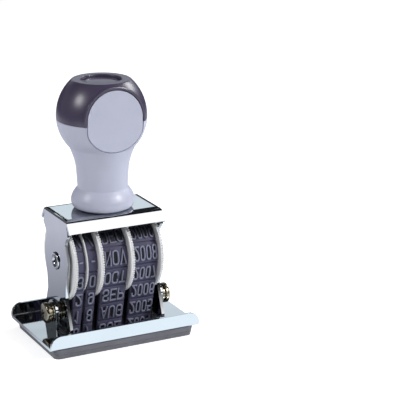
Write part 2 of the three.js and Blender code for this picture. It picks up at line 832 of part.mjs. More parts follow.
const wheelSet = new THREE.Group();
wheelSet.position.z = axleHeight;
stamp.add(wheelSet);
piece("wheel_axle", axle(), steel, wheelSet);
for (const [name, places] of Object.entries(wheels)) {
  piece(`${name}_wheel`, wheel(places), ivory, wheelSet);
  piece(`${name}_band`, band(places), bandRubber);
}
piece("band_bridge", bridge(), bridgeSteel);

piece("die_plate", diePlate(), chrome);
piece("cushion", cushion(), greyRubber);
piece("text_die", textDie(), greyRubber);

for (const [name, turn] of [["right", 0], ["left", Math.PI]]) {
  const side = new THREE.Group();
  side.position.set(0, -screwForward, screwHeight);
  side.rotation.z = turn;
  stamp.add(side);
  piece(`${name}_clamp_screw`, clampScrew(), steel, side);
  piece(`${name}_flat_washer`, flatWasher(), steel, side);
  piece(`${name}_lock_washer`, lockWasher(), steel, side);
  piece(`${name}_clamp_nut`, clampNut(), steel, side);
}

export default stamp;
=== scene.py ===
# %% [markdown]
# # A hand date stamp
# A date stamp is a small machine: rubber bands with raised type run round thumb wheels, a chromed
# sheet holds them, a ball handle presses them down, and a rubber die prints a border round the date.
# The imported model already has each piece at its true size. This lesson dresses it for the camera.

import json
import math

import bmesh
import bpy
from mathutils import Matrix, Vector

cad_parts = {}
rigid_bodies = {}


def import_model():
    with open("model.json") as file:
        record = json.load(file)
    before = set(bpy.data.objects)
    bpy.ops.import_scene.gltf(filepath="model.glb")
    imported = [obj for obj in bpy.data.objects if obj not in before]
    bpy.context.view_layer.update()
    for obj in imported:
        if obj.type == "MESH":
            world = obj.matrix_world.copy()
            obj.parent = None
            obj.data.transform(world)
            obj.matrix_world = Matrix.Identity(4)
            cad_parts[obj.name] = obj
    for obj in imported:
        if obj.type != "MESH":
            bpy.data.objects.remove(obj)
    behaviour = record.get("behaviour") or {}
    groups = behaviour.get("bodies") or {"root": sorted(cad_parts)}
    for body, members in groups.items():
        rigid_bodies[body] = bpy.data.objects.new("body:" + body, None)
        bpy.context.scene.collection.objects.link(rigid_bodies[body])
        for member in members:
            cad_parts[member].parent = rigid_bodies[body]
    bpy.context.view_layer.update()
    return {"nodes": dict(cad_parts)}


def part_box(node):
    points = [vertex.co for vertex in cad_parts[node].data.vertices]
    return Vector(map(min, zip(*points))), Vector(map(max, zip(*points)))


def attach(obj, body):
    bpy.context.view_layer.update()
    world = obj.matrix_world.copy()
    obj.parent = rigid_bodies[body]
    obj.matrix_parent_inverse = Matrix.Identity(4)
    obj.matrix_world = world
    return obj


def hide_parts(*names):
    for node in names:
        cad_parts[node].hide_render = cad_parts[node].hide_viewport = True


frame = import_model()
MM = 0.001
scene = bpy.context.scene

# %% [markdown]
# ## Camera
# The photograph was taken with a long lens, from the left front and a little above. Heading, tilt
# and roll are angles of the camera itself, and the lens is given on a 36 mm wide sensor. All of them
# were fitted to named edges of the stamp, because a view set by eye would leave its outlines a few
# pixels off.

# %% Camera at the photograph's view
SENSOR_WIDTH = 36
NEAREST = 10 * MM
LENS = 140.03
CAMERA_PLACE = Vector((-201.47, -455.45, 197.12)) * MM
CAMERA_HEADING = math.radians(-27.595)
CAMERA_TILT = math.radians(90 - 16.827)
CAMERA_ROLL = math.radians(0.243)

camera_data = bpy.data.cameras.new("camera")
camera_data.sensor_width = SENSOR_WIDTH
camera_data.lens = LENS
camera_data.clip_start = NEAREST
camera = bpy.data.objects.new("camera", camera_data)
turn = Matrix.Rotation(CAMERA_HEADING, 4, "Z") @ Matrix.Rotation(CAMERA_TILT, 4, "X")
camera.matrix_world = Matrix.Translation(CAMERA_PLACE) @ turn @ Matrix.Rotation(CAMERA_ROLL, 4, "Z")
scene.collection.objects.link(camera)
scene.camera = camera
scene.view_settings.view_transform = "Standard"
print("camera at", tuple(round(v, 3) for v in CAMERA_PLACE))

# %% [markdown]
# ## Node graphs as plain sums
# Materials and geometry trees are graphs of nodes. Wiring them link by link takes many lines. Here one
# small class wraps an output socket, so that `1 - mask` adds the node that it means.


# %% A wire and a graph
class Wire:
    """An output socket that can stand in a sum."""

    def __init__(self, graph, socket):
        self.graph = graph
        self.socket = socket

    def out(self, name):
        return Wire(self.graph, self.socket.node.outputs[name])

    def math(self, operation, *terms):
        return self.graph.node("ShaderNodeMath", dict(enumerate(terms)), operation=operation)

    def __add__(self, other):
        return self.math("ADD", self, other)

    def __sub__(self, other):
        return self.math("SUBTRACT", self, other)

    def __rsub__(self, other):
        return self.math("SUBTRACT", other, self)

    def __mul__(self, other):
        return self.math("MULTIPLY", self, other)

    def __truediv__(self, other):
        return self.math("DIVIDE", self, other)

    def __pow__(self, other):
        return self.math("POWER", self, other)


class Graph:
    """A node tree, with one method that adds any node and a few for nodes that come often."""

    def __init__(self, tree):
        self.tree = tree

    def node(self, kind, inputs=None, output=0, **settings):
        made = self.tree.nodes.new(kind)
        for name, value in settings.items():
            setattr(made, name, value)
        for key, value in (inputs or {}).items():
            if isinstance(value, Wire):
                self.tree.links.new(value.socket, made.inputs[key])
            else:
                made.inputs[key].default_value = value
        return Wire(self, made.outputs[output]) if len(made.outputs) else made

    def mix(self, factor, first, second):
        """Two colours mixed by a factor."""
        return self.node("ShaderNodeMix", {0: factor, 6: first, 7: second}, 2, data_type="RGBA")

    def ramp(self, value, low, high, least=0):
        """How far a value is on its way from low to high, held between least and 1."""
        return self.node("ShaderNodeMapRange", {
            "Value": value, "From Min": low, "From Max": high, "To Min": least})

    def vector(self, operation, *terms):
        return self.node("ShaderNodeVectorMath", dict(enumerate(terms)), operation=operation)

    def parts(self, vector):
        """The three parts of a vector."""
        split = self.node("ShaderNodeSeparateXYZ", {0: vector})
        return [split.out(axis) for axis in "XYZ"]

    def spot(self):
        """The place of a point in its piece's own coordinates, in metres."""
        return self.node("ShaderNodeTexCoord").out("Object")


def emptied(owner):
    """The graph of a new material or world, without the nodes that it starts with."""
    owner.use_nodes = True
    owner.node_tree.nodes.clear()
    return Graph(owner.node_tree)


print("graph helpers are ready")

# %% [markdown]
# ## Floor
# The stamp stands on a white sheet, which keeps the soft shadow under it and glows a little to the
# camera. An evenly white floor would be simpler, but chrome shows its bends only where bright meets
# dark. So the chrome sees a sheen: bright in front, softer behind, dark close behind and far off.


# %% Floor
def colour(red, green, blue):
    return (red, green, blue, 1)


FLOOR_HALF = 2.5
FLOOR_WHITE = colour(0.8, 0.8, 0.81)
FLOOR_GLOW = 0.6
FRONT_SHEEN = colour(1.36, 1.52, 1.6)
NEAR_SHEEN = colour(0.36, 0.37, 0.43)
BACK_SHEEN = colour(0.76, 0.77, 0.88)
FAR_SHEEN = colour(0.03, 0.03, 0.035)
WHITE = colour(1, 1, 1)
BACK_START = -20 * MM
BACK_END = 15 * MM
NEAR_START = 45 * MM
NEAR_END = 130 * MM
FAR_START = 300 * MM
FAR_END = 500 * MM


def floor_finish():
    made = bpy.data.materials.new("pale_floor")
    graph = emptied(made)
    ray = graph.node("ShaderNodeLightPath")
    spot = graph.spot()
    off_middle = graph.vector("LENGTH", spot).out("Value")
    at_back = graph.ramp(graph.parts(spot)[1], BACK_START, BACK_END)
    not_near = graph.ramp(off_middle, NEAR_START, NEAR_END)
    far_off = graph.ramp(off_middle, FAR_START, FAR_END)
    behind = graph.mix(not_near, NEAR_SHEEN, BACK_SHEEN)
    sheen = graph.mix(far_off, graph.mix(at_back, FRONT_SHEEN, behind), FAR_SHEEN)
    paper = graph.node("ShaderNodeBsdfDiffuse", {"Color": FLOOR_WHITE})
    strength = ray.out("Is Camera Ray") * FLOOR_GLOW
    glow = graph.node("ShaderNodeEmission", {"Color": WHITE, "Strength": strength})
    lit = graph.node("ShaderNodeAddShader", {0: paper, 1: glow})
    mirrored = graph.node("ShaderNodeEmission", {"Color": sheen})
    both = graph.node("ShaderNodeMixShader", {0: ray.out("Is Glossy Ray"), 1: lit, 2: mirrored})
    graph.node("ShaderNodeOutputMaterial", {"Surface": both})
    return made


floor_mesh = bpy.data.meshes.new("floor")
corners = [(x * FLOOR_HALF, y * FLOOR_HALF, 0) for x, y in ((-1, -1), (1, -1), (1, 1), (-1, 1))]
floor_mesh.from_pydata(corners, [], [(0, 1, 2, 3)])
floor = bpy.data.objects.new("floor", floor_mesh)
floor_mesh.materials.append(floor_finish())
scene.collection.objects.link(floor)
print("floor is", FLOOR_HALF * 2, "m wide")

# %% [markdown]
# ## World
# Chrome shows the room. This room is dark, with a low bright band behind the stamp that fades to the
# left, and a bright patch in front at the right. Matt pieces get an even, faint fill instead. A picture
# of a real room could stand here, but these edges were set to meet those in the photograph's chrome.

# %% World
BAND_LOW = 0.2
BAND_HIGH = 0.388
BAND_SOFTNESS = 0.03
BEHIND_EDGE = -0.1
BEHIND_SOFTNESS = 0.3
LEFT_EDGE = -0.2
LEFT_SOFTNESS = 0.3
LEFT_SHARE = 0.12
FAR_LEFT_EDGE = -0.45
FAR_LEFT_SOFTNESS = 0.1
PATCH_TOWARDS = (0.43, -0.735, 0.524)
PATCH_EDGE = math.cos(math.radians(21))
PATCH_SOFTNESS = 0.012
PATCH_WHITE = colour(1.86, 1.83, 1.77)
WORLD_WHITE = colour(0.95, 1.06, 1.12)
WORLD_DARK = colour(0.02, 0.02, 0.024)
FILL_STRENGTH = 0.3


def studio_world():
    world = bpy.data.worlds.new("studio")
    graph = emptied(world)
    direction = graph.node("ShaderNodeTexCoord").out("Generated")
    x, y, z = graph.parts(direction)
    over_low = graph.ramp(z, BAND_LOW - BAND_SOFTNESS, BAND_LOW + BAND_SOFTNESS)
    under_high = graph.ramp(z, BAND_HIGH + BAND_SOFTNESS, BAND_HIGH - BAND_SOFTNESS)
    at_back = graph.ramp(y, BEHIND_EDGE, BEHIND_EDGE + BEHIND_SOFTNESS)
    at_right = graph.ramp(x, LEFT_EDGE, LEFT_EDGE + LEFT_SOFTNESS, LEFT_SHARE)
    far_left = graph.ramp(x, FAR_LEFT_EDGE + FAR_LEFT_SOFTNESS, FAR_LEFT_EDGE)
    from_low = over_low.math("MAXIMUM", over_low, far_left)
    window = graph.mix(from_low * under_high * at_back * at_right, WORLD_DARK, WORLD_WHITE)
    near_patch = graph.vector("DOT_PRODUCT", direction, PATCH_TOWARDS).out("Value")
    on_patch = graph.ramp(near_patch, PATCH_EDGE - PATCH_SOFTNESS, PATCH_EDGE + PATCH_SOFTNESS)
    ray = graph.node("ShaderNodeLightPath")
    shown = graph.mix(ray.out("Is Glossy Ray"), WHITE, graph.mix(on_patch, window, PATCH_WHITE))
    fill = ray.out("Is Diffuse Ray") * (FILL_STRENGTH - 1) + 1
    back = graph.node("ShaderNodeBackground", {"Color": shown, "Strength": fill})
    graph.node("ShaderNodeOutputWorld", {"Surface": back})
    return world


scene.world = studio_world()
print("the window band lies between", BAND_LOW, "and", BAND_HIGH)

# %% [markdown]
# ## Lamps
# Three soft boxes light the stamp. A sun or bare bulbs could do it, but their small hard spots would
# show in the chrome. Each box lies where no bend of the frame mirrors it into the camera.

# %% Three softboxes
LAMP_DISTANCE = 0.7
AIM = Vector((0, 0, 45 * MM))
SOFTBOXES = {
    "left_softbox": ((-0.826, 0.054, 0.56), 0.2, 1.5),
    "right_softbox": ((0.6, -0.575, 0.556), 0.17, 2.75),
    "back_softbox": ((0.81, 0.19, 0.555), 0.2, 1.3),
}

for name, (direction, size, power) in SOFTBOXES.items():
    lamp = bpy.data.lights.new(name, "AREA")
    lamp.size = size
    lamp.energy = power
    softbox = bpy.data.objects.new(name, lamp)
    towards = Vector(direction).normalized()
    softbox.location = AIM + towards * LAMP_DISTANCE
    softbox.rotation_euler = towards.to_track_quat("Z", "Y").to_euler()
    scene.collection.objects.link(softbox)

# %% [markdown]
# ## Mesh helpers
# Round pieces are turned from a profile, straight ones are drawn as an outline and given a depth, and
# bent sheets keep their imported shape. A real corner is a little round, which catches the light, so
# corners are rounded in the profile, or edges are broken afterwards.


# %% Profiles and outlines
def curved(start, corner, end, steps):
    """Points of a short curve from start to end that bends towards a corner."""
    shares = [k / steps for k in range(steps + 1)]
    return [tuple(start * (1 - t) ** 2 + corner * 2 * t * (1 - t) + end * t ** 2) for t in shares]


def softened(points, steps=4):
    """A line of (a, b, cut) points, with each corner that has a cut drawn as a short curve."""
    line = []
    for i, (a, b, cut) in enumerate(points):
        if not cut or i in (0, len(points) - 1):
            line.append((a, b))
            continue
        corner = Vector((a, b))
        ends = (Vector(points[j][:2]) for j in (i - 1, i + 1))
        start, end = (corner + (other - corner).normalized() * cut for other in ends)
        line += curved(start, corner, end, steps)
    return line


def spline(knots, steps):
    """A smooth line through knots, as points."""
    line = []
    for i in range(len(knots) - 1):
        p0 = Vector(knots[max(i - 1, 0)])
        p1 = Vector(knots[i])
        p2 = Vector(knots[i + 1])
        p3 = Vector(knots[min(i + 2, len(knots) - 1)])
        for k in range(steps):
            t = k / steps
            place = (p1 * 2 + (p2 - p0) * t + (p0 * 2 - p1 * 5 + p2 * 4 - p3) * t ** 2
                     + (p1 * 3 - p0 - p2 * 3 + p3) * t ** 3) / 2
            line.append((place.x, place.y))
    line.append(tuple(knots[-1]))
    return line


print("profile helpers are ready")


# %% Solids
NO_RADIUS = 1e-9
ROUND = 128
ROUND_SMALL = 96
ROUND_WHEEL = 160


def new_object(name, shape):
    """An object in the scene, from a bmesh that is freed."""
    bmesh.ops.recalc_face_normals(shape, faces=shape.faces)
    mesh = bpy.data.meshes.new(name)
    shape.to_mesh(mesh)
    shape.free()
    made = bpy.data.objects.new(name, mesh)
    scene.collection.objects.link(made)
    return made


def skinned(shape, rings, endless=False):
    """Faces between rings of points, where a ring may be one point. Open ends are closed by a face."""
    for low, high in zip(rings, rings[1:] + (rings[:1] if endless else [])):
        for i in range(max(len(low), len(high))):
            corners = [low[i % len(low)], low[(i + 1) % len(low)],
                       high[(i + 1) % len(high)], high[i % len(high)]]
            unique = list(dict.fromkeys(corners))
            if len(unique) > 2:
                shape.faces.new(unique)
    for end in [] if endless else [rings[0], rings[-1]]:
        if len(end) > 2:
            shape.faces.new(end)


def turned(name, profile, axis="Z", steps=ROUND, centre=(0, 0, 0)):
    """A solid turned from (radius, along) points. A closed profile makes a ring."""
    shape = bmesh.new()
    closed = Vector(profile[0]) == Vector(profile[-1])
    rings = []
    for radius, along in profile[:-1] if closed else profile:
        ring = []
        for i in range(1 if radius < NO_RADIUS else steps):
            angle = 2 * math.pi * i / steps
            first, second = radius * math.cos(angle), radius * math.sin(angle)
            spot = (along, first, second) if axis == "X" else (first, second, along)
            ring.append(shape.verts.new(Vector(spot) + Vector(centre)))
        rings.append(ring)
    skinned(shape, rings, closed)
    return new_object(name, shape)


def loft(name, levels):
    """A solid through (outline, depth) levels, with each (x, z) outline at its depth along Y."""
    shape = bmesh.new()
    skinned(shape, [[shape.verts.new((x, y, z)) for x, z in outline] for outline, y in levels])
    return new_object(name, shape)


print("round pieces have", ROUND_SMALL, "to", ROUND_WHEEL, "steps")


# %% Cuts and edges
EDGE_SEGMENTS = 2
FLAT_WEIGHT = 100
SAME_VERTEX = 0.001 * MM
FLAT_ENOUGH = math.radians(1)
SHARP_ENOUGH = math.radians(40)


def settle(piece):
    """Turns the result of a piece's modifiers into its plain mesh."""
    graph = bpy.context.evaluated_depsgraph_get()
    mesh = bpy.data.meshes.new_from_object(piece.evaluated_get(graph))
    piece.modifiers.clear()
    old = piece.data
    piece.data = mesh
    bpy.data.meshes.remove(old)
    return piece


def combine(piece, tool, operation):
    """Cuts a tool out of a piece, or joins it on, and takes the tool away."""
    step = piece.modifiers.new(operation, "BOOLEAN")
    step.operation = operation
    step.solver = "EXACT"
    step.object = tool
    settle(piece)
    bpy.data.objects.remove(tool)


def smooth(piece, angle=35):
    """Shades a piece smooth, except over edges that are sharper than an angle in degrees."""
    piece.data.shade_smooth()
    piece.data.set_sharp_from_angle(angle=math.radians(angle))
    return piece


def evened(piece):
    """Keeps the flat faces of a piece flat in the light."""
    step = piece.modifiers.new("even", "WEIGHTED_NORMAL")
    step.keep_sharp = True
    step.weight = FLAT_WEIGHT
    return settle(piece)


def broken_edges(piece, width):
    """Breaks every sharp edge of a piece."""
    step = piece.modifiers.new("edge", "BEVEL")
    step.width = width
    step.segments = EDGE_SEGMENTS
    step.limit_method = "ANGLE"
    step.angle_limit = SHARP_ENOUGH
    step.use_clamp_overlap = True
    piece.data.shade_smooth()
    return evened(piece)


def merged_copy(node, name, reshape=None):
    """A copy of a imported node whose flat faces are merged."""
    shape = bmesh.new()
    shape.from_mesh(frame["nodes"][node].data)
    bmesh.ops.remove_doubles(shape, verts=shape.verts, dist=SAME_VERTEX)
    if reshape:
        reshape(shape)
    bmesh.ops.dissolve_limit(shape, angle_limit=FLAT_ENOUGH, verts=shape.verts, edges=shape.edges)
    return new_object(name, shape)


def place(piece, body, finish, slot, *nodes):
    """Gives a piece its finish and its body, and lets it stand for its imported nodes."""
    piece.data.materials.clear()
    piece.data.materials.append(finish)
    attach(piece, body)
    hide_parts(*nodes)
    print(piece.name, "has", len(piece.data.polygons), "faces")


# %% [markdown]
# ## Finishes
# Each finish is a plain recipe: one shader whose even values are set on its own sockets, and noise in
# object coordinates for what changes over the surface. Pictures could be wrapped round the pieces
# instead, but noise needs no unwrapping and has no seams. Scales are in features per metre.


# %% What the finishes share
def new_finish(name, **even):
    """A material with one shader, its graph, and its even values set on the sockets."""
    made = bpy.data.materials.new(name)
    graph = emptied(made)
    shader = graph.node("ShaderNodeBsdfPrincipled")
    graph.node("ShaderNodeOutputMaterial", {"Surface": shader})
    for socket, value in even.items():
        shader.socket.node.inputs[socket.replace("_", " ")].default_value = value
    return made, graph, shader.socket.node


def feed(graph, shader, **wires):
    """Links a wire into each socket that is named."""
    for socket, wire in wires.items():
        graph.tree.links.new(wire.socket, shader.inputs[socket.replace("_", " ")])


def noise(graph, scale, detail=2, stretch=(1, 1, 1)):
    """Noise from 0 to 1 over object coordinates."""
    pulled = graph.node("ShaderNodeMapping", {"Vector": graph.spot(), "Scale": stretch})
    return graph.node("ShaderNodeTexNoise", {"Vector": pulled, "Scale": scale, "Detail": detail})


def bumped(graph, height, strength, distance):
    return graph.node("ShaderNodeBump", {"Height": height, "Strength": strength, "Distance": distance})


def grained(name, cloud, grain, shades, gloss, bump, **even):
    """A finish whose colour drifts with a cloud and whose skin is rough with a finer grain.

    Gloss is the roughness that the grain adds, that the cloud adds, and that is always there.
    """
    made, graph, shader = new_finish(name, **even)
    cloud, grain = noise(graph, *cloud), noise(graph, *grain)
    by_grain, by_cloud, always = gloss
    feed(graph, shader, Base_Color=graph.mix(cloud, *shades),
         Roughness=grain * by_grain + cloud * by_cloud + always, Normal=bumped(graph, grain, *bump))
    print("made", name)
    return made


# %% [markdown]
# ### Chrome
# The frame and the tray are bright chromed sheet: a mirror with a faint haze, wipe marks along it and
# a ripple of some hundredths of a millimetre. The frame's flat top also falls away a little towards
# its bends, as pressed sheet does. That could be modelled, but a height in the finish gives the same
# soft lines and leaves the sheet's shape alone.

# %% Chrome on sheet
RIPPLE = 0.04 * MM
LEVEL_ENOUGH = 0.99
CHROME_SHADES = colour(0.52, 0.54, 0.57), colour(0.58, 0.6, 0.63)
WIPE_STRETCH = (1, 14, 14)
TOP_HALF_X = 16.1 * MM
TOP_HALF_Y = 8.12 * MM
RIGHT_ROLL = 1.2 * MM
BACK_ROLL = 0.9 * MM
FRONT_ROLL = 0.8 * MM
ROLL_CURVE = 83


def rolled_off_top(graph):
    """Height of the flat top, which falls on its way into the right, the back and the front bend."""
    x, y, _ = graph.parts(graph.spot())
    right = x - (TOP_HALF_X - RIGHT_ROLL)
    back = y - (TOP_HALF_Y - BACK_ROLL)
    front = (x / TOP_HALF_X + 1) / 2 * FRONT_ROLL - y - TOP_HALF_Y
    fall = 0
    for run in (right, back, front):
        fall = run.math("MAXIMUM", run, fall)
    return fall ** 2 * -ROLL_CURVE


def chrome_finish(name, height=None):
    """Bright chrome, with a height in metres over its level faces where one is given."""
    made, graph, shader = new_finish(name, Metallic=1)
    haze = noise(graph, 90, 3)
    wipe = noise(graph, 260, 2, WIPE_STRETCH)
    normal = graph.node("ShaderNodeBump", {"Height": noise(graph, 70, 1), "Distance": RIPPLE})
    if height:
        level = graph.parts(graph.node("ShaderNodeNewGeometry").out("True Normal"))[2]
        normal = graph.node("ShaderNodeBump", {
            "Height": height(graph), "Strength": level.math("GREATER_THAN", level, LEVEL_ENOUGH),
            "Distance": 1, "Normal": normal})
    feed(graph, shader, Base_Color=graph.mix(haze, *CHROME_SHADES),
         Roughness=haze * 0.04 + wipe * 0.04 + 0.02, Normal=normal)
    print("made", name)
    return made


chrome = chrome_finish("bright_chrome")
frame_chrome = chrome_finish("frame_chrome", rolled_off_top)

# %% [markdown]
# ### Moulded shells
# The handle is hard satin plastic with a faint flow in its colour and a fine skin that hands have
# polished, so a thin soft coat lies over it. A plain glossy colour would look wet.

# %% Plastic of the handle
PALE_SHADES = colour(0.5, 0.52, 0.66), colour(0.56, 0.58, 0.71)
DARK_SHADES = colour(0.053, 0.041, 0.08), colour(0.067, 0.054, 0.101)


def shell_finish(name, shades, gloss, coat):
    return grained(name, (160, 4), (2600, 2), shades, (0.08, 0.06, gloss), (0.05, 0.05 * MM),
                   Coat_Weight=coat, Coat_Roughness=0.27)


pale_plastic = shell_finish("pale_shell", PALE_SHADES, 0.36, 0.33)
dark_plastic = shell_finish("dark_shell", DARK_SHADES, 0.26, 0.45)

# %% [markdown]
# ### Ivory plastic
# The wheels are moulded from plain white plastic. The recipe is that of the shells, with a finer flow
# and hardly any coat, because hands polish the wheels less.

# %% Plastic of the wheels
IVORY_SHADES = colour(0.76, 0.76, 0.76), colour(0.86, 0.87, 0.9)
ivory = grained("ivory_plastic", (300, 3), (1800, 2), IVORY_SHADES, (0.15, 0, 0.35), (0.06, 0.05 * MM),
                Coat_Weight=0.1)

# %% [markdown]
# ### Band rubber
# The bands are dark rubber, and the type is rubbed lighter than its ground. Shade is painted black
# between the strokes and to their left, and the highest rows are painted darker as the shadow of the
# frame's flange. A picture for each band could show this, but the type's mesh says where it is raised
# (1) and where painted shade lies (-1), so one finish does it all.

# %% Rubber of the bands
GROUND_SHADES = colour(0.066, 0.065, 0.114), colour(0.1, 0.098, 0.165)
TYPE_SHADES = colour(0.21, 0.22, 0.31), colour(0.3, 0.31, 0.42)
# Painted shade: the near-black of the plates under the type and of the flange's shadow over the top rows.
PAINTED_SHADE_COLOURS = colour(0.004, 0.004, 0.01), colour(0.012, 0.012, 0.022)
# Painted shadow of the frame's flange: the bands darken between these heights and keep this share of
# their colour.
FLANGE_SHADOW_START = 34.2 * MM
FLANGE_SHADOW_END = 36 * MM
FLANGE_SHADOW_KEEPS = 0.12


def band_finish(name):
    made, graph, shader = new_finish(name, IOR=1.33)
    raised = graph.node("ShaderNodeAttribute", attribute_name="raised").out("Fac")
    stain, grit = noise(graph, 500, 4), noise(graph, 4200, 2)
    ground, light, painted_shade = (graph.mix(stain, *shades)
                          for shades in (GROUND_SHADES, TYPE_SHADES, PAINTED_SHADE_COLOURS))
    rubbed = graph.mix(raised.math("MAXIMUM", raised, 0), ground, light)
    # Where the level is -1, the plate of painted shade turns the colour near black.
    shown = graph.mix(raised.math("MAXIMUM", 0 - raised, 0), rubbed, painted_shade)
    # Painted shadow: the highest rows, under the frame's flange, darken with height towards the painted
    # shade colour.
    in_flange_shadow = graph.ramp(graph.parts(graph.spot())[2], FLANGE_SHADOW_START, FLANGE_SHADOW_END)
    feed(graph, shader, Base_Color=graph.mix(in_flange_shadow, shown, graph.mix(FLANGE_SHADOW_KEEPS, painted_shade, shown)),
         Roughness=grit * 0.2 + stain * 0.1 + 0.42, Normal=bumped(graph, grit, 0.15, 0.06 * MM))
    print("made", name)
    return made


band_rubber = band_finish("band_rubber")

# %% [markdown]
# ### Grey rubber
# The cushion and the die are unpolished grey rubber, cloudy and gritty. The grain is the strongest of
# all, because this rubber catches no clear highlight.

# %% Rubber under the plate
GREY_SHADES = colour(0.13, 0.13, 0.15), colour(0.21, 0.21, 0.24)
grey_rubber = grained("grey_rubber", (220, 4), (3000, 3), GREY_SHADES, (0.2, 0, 0.6), (0.25, 0.1 * MM))

# %% [markdown]
# ### Small metal parts
# The axle is plated, the clamp parts are yellowed steel, and the bridge is blackened. The marks of the
# tool could be drawn line by line, but noise that is squeezed in one direction does the same.

# %% Metal of the small parts
PLATED_SHADES = colour(0.46, 0.47, 0.5), colour(0.55, 0.56, 0.58)
CLAMP_SHADES = colour(0.24, 0.21, 0.15), colour(0.38, 0.35, 0.27)
BLACK_SHADES = colour(0.04, 0.04, 0.045), colour(0.07, 0.07, 0.075)


def metal_finish(name, shades, gloss, stretch):
    return grained(name, (700, 3), (900, 2, stretch), shades, (0.16, 0.06, gloss), (0.08, 0.05 * MM),
                   Metallic=1)


plated_steel = metal_finish("plated_steel", PLATED_SHADES, 0.06, (1, 1, 6))
clamp_metal = metal_finish("clamp_metal", CLAMP_SHADES, 0.1, (6, 1, 1))
black_steel = metal_finish("black_steel", BLACK_SHADES, 0.35, (1, 8, 8))

# %% [markdown]
# ## Handle
# The handle is two shells. The pale one is a turned neck that swells into a ball, and the dark one
# caps the ball. A round flat pad is pressed into the front and the back. It could be carved into a
# turned surface point by point, but a slab joined to the ball, whose face cuts off what stands
# beyond it, gives the same edges from a few sizes.

# %% Handle sizes
FRAME_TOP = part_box("frame_shell")[1].z
HANDLE_TOP = 43.7 * MM
BALL_HEIGHT = 31.4 * MM
BALL_RADIUS = 15 * MM
BALL_CROWN = 16 * MM
BALL_UNDER = 14.9 * MM
THROAT_HEIGHT = 21.2 * MM
SPLIT_HEIGHT = 30.6 * MM
SEAM_GAP = 0.1 * MM
CAP_WALL = 2 * MM
CAP_GAP = 0.3 * MM
DISC_RADIUS = 6.4 * MM
DISC_DEPTH = 1 * MM
DISC_THICKNESS = 1.2 * MM
PAD_RADIUS = 9.7 * MM
PAD_LOWER_RADIUS = 10.7 * MM
PAD_SWELL_SHARE = 0.6
PAD_REACH = 11 * MM
PAD_ROOT = 7.4 * MM
PAD_HEIGHT = 32.1 * MM
PAD_COLLAR = 1.2 * MM
SCREW_BORE = 1.72 * MM
SCREW_DEPTH = 15 * MM
OVERRUN = 1 * MM
PAD_TAPER = 0.6
PAD_STEPS = 120
BALL_STEPS = 22


def ball_at(height, shrink=0):
    """The ball's radius at a height."""
    half = BALL_CROWN if height > BALL_HEIGHT else BALL_UNDER
    share = (height - BALL_HEIGHT) / (half - shrink)
    return (BALL_RADIUS - shrink) * math.sqrt(max(0, 1 - share * share))


def ball_stretch(low, high, shrink=0):
    heights = [low + (high - low) * i / BALL_STEPS for i in range(BALL_STEPS + 1)]
    return [(ball_at(height, shrink), height) for height in heights]


def handle_turned(name, profile):
    """A turned part of the handle, with heights over the frame's top."""
    return turned(name, profile, centre=(0, 0, FRAME_TOP))


def pad_outline(grow, taper):
    """A circle that swells a little in its lower half, grown by less there."""
    points = []
    for i in range(PAD_STEPS):
        angle = 2 * math.pi * i / PAD_STEPS
        share = min(1, max(0, -math.sin(angle) / PAD_SWELL_SHARE))
        swell = share * share * (3 - 2 * share)
        radius = PAD_RADIUS + (PAD_LOWER_RADIUS - PAD_RADIUS) * swell + grow * (1 - taper * swell)
        points.append((radius * math.cos(angle), FRAME_TOP + PAD_HEIGHT + radius * math.sin(angle)))
    return points


def pad_slab(side, levels, taper=0):
    """A slab on one face of the ball, from (grow, half depth) levels."""
    return loft("pad", [(pad_outline(grow, taper), side * depth) for grow, depth in levels])


def beyond_pad(side):
    """All that stands further out than the pad's face."""
    return pad_slab(side, [(PAD_COLLAR, PAD_REACH), (PAD_COLLAR, BALL_RADIUS * 2)])


def half_space(height, above):
    """A block that holds all of the ball over a height, or all of it under that height."""
    wide = BALL_RADIUS * 2
    far = height + wide if above else height - wide
    outline = [(-wide, height), (wide, height), (wide, far), (-wide, far)]
    return loft("half", [(outline, -wide), (outline, wide)])


print("frame top is at", round(FRAME_TOP / MM, 2), "mm")

# %% [markdown]
# ### Pale shell
# The lower shell is a foot, a neck and half a ball in one moulding, with a spigot that the cap sits on.
# It could be turned from one drawn line. Here the foot and neck are smooth lines through a few measured
# points and the ball is exact, so that the cap can follow the same ball.

# %% Pale shell of the handle
FOOT_SEAT = 7.15 * MM
FOOT_KNOTS = [(8.8, 0.3), (10.05, 1), (10.6, 2.3), (10.58, 3.6), (10.05, 5), (9.3, 6.2), (8.55, 7.15)]
NECK_KNOTS = [(8.55, 7.15), (8.45, 8.3), (9.03, 15.5), (ball_at(THROAT_HEIGHT) / MM, THROAT_HEIGHT / MM)]
BEYOND_THROAT = 2 * MM
CURVE_STEPS = 12
PAD_GROOVE_DEPTH = 0.55 * MM
PALE_COLLAR = [(1.2, 7.4), (1.2, 10.1), (1.1, 10.45), (0.85, 10.78), (0.45, 10.96), (0.3, 11)]
SHELL_ANGLE = 30
recess_floor = HANDLE_TOP - DISC_DEPTH - DISC_THICKNESS - SEAM_GAP
roof = recess_floor - CAP_WALL


def scaled(pairs):
    return [(a * MM, b * MM) for a, b in pairs]


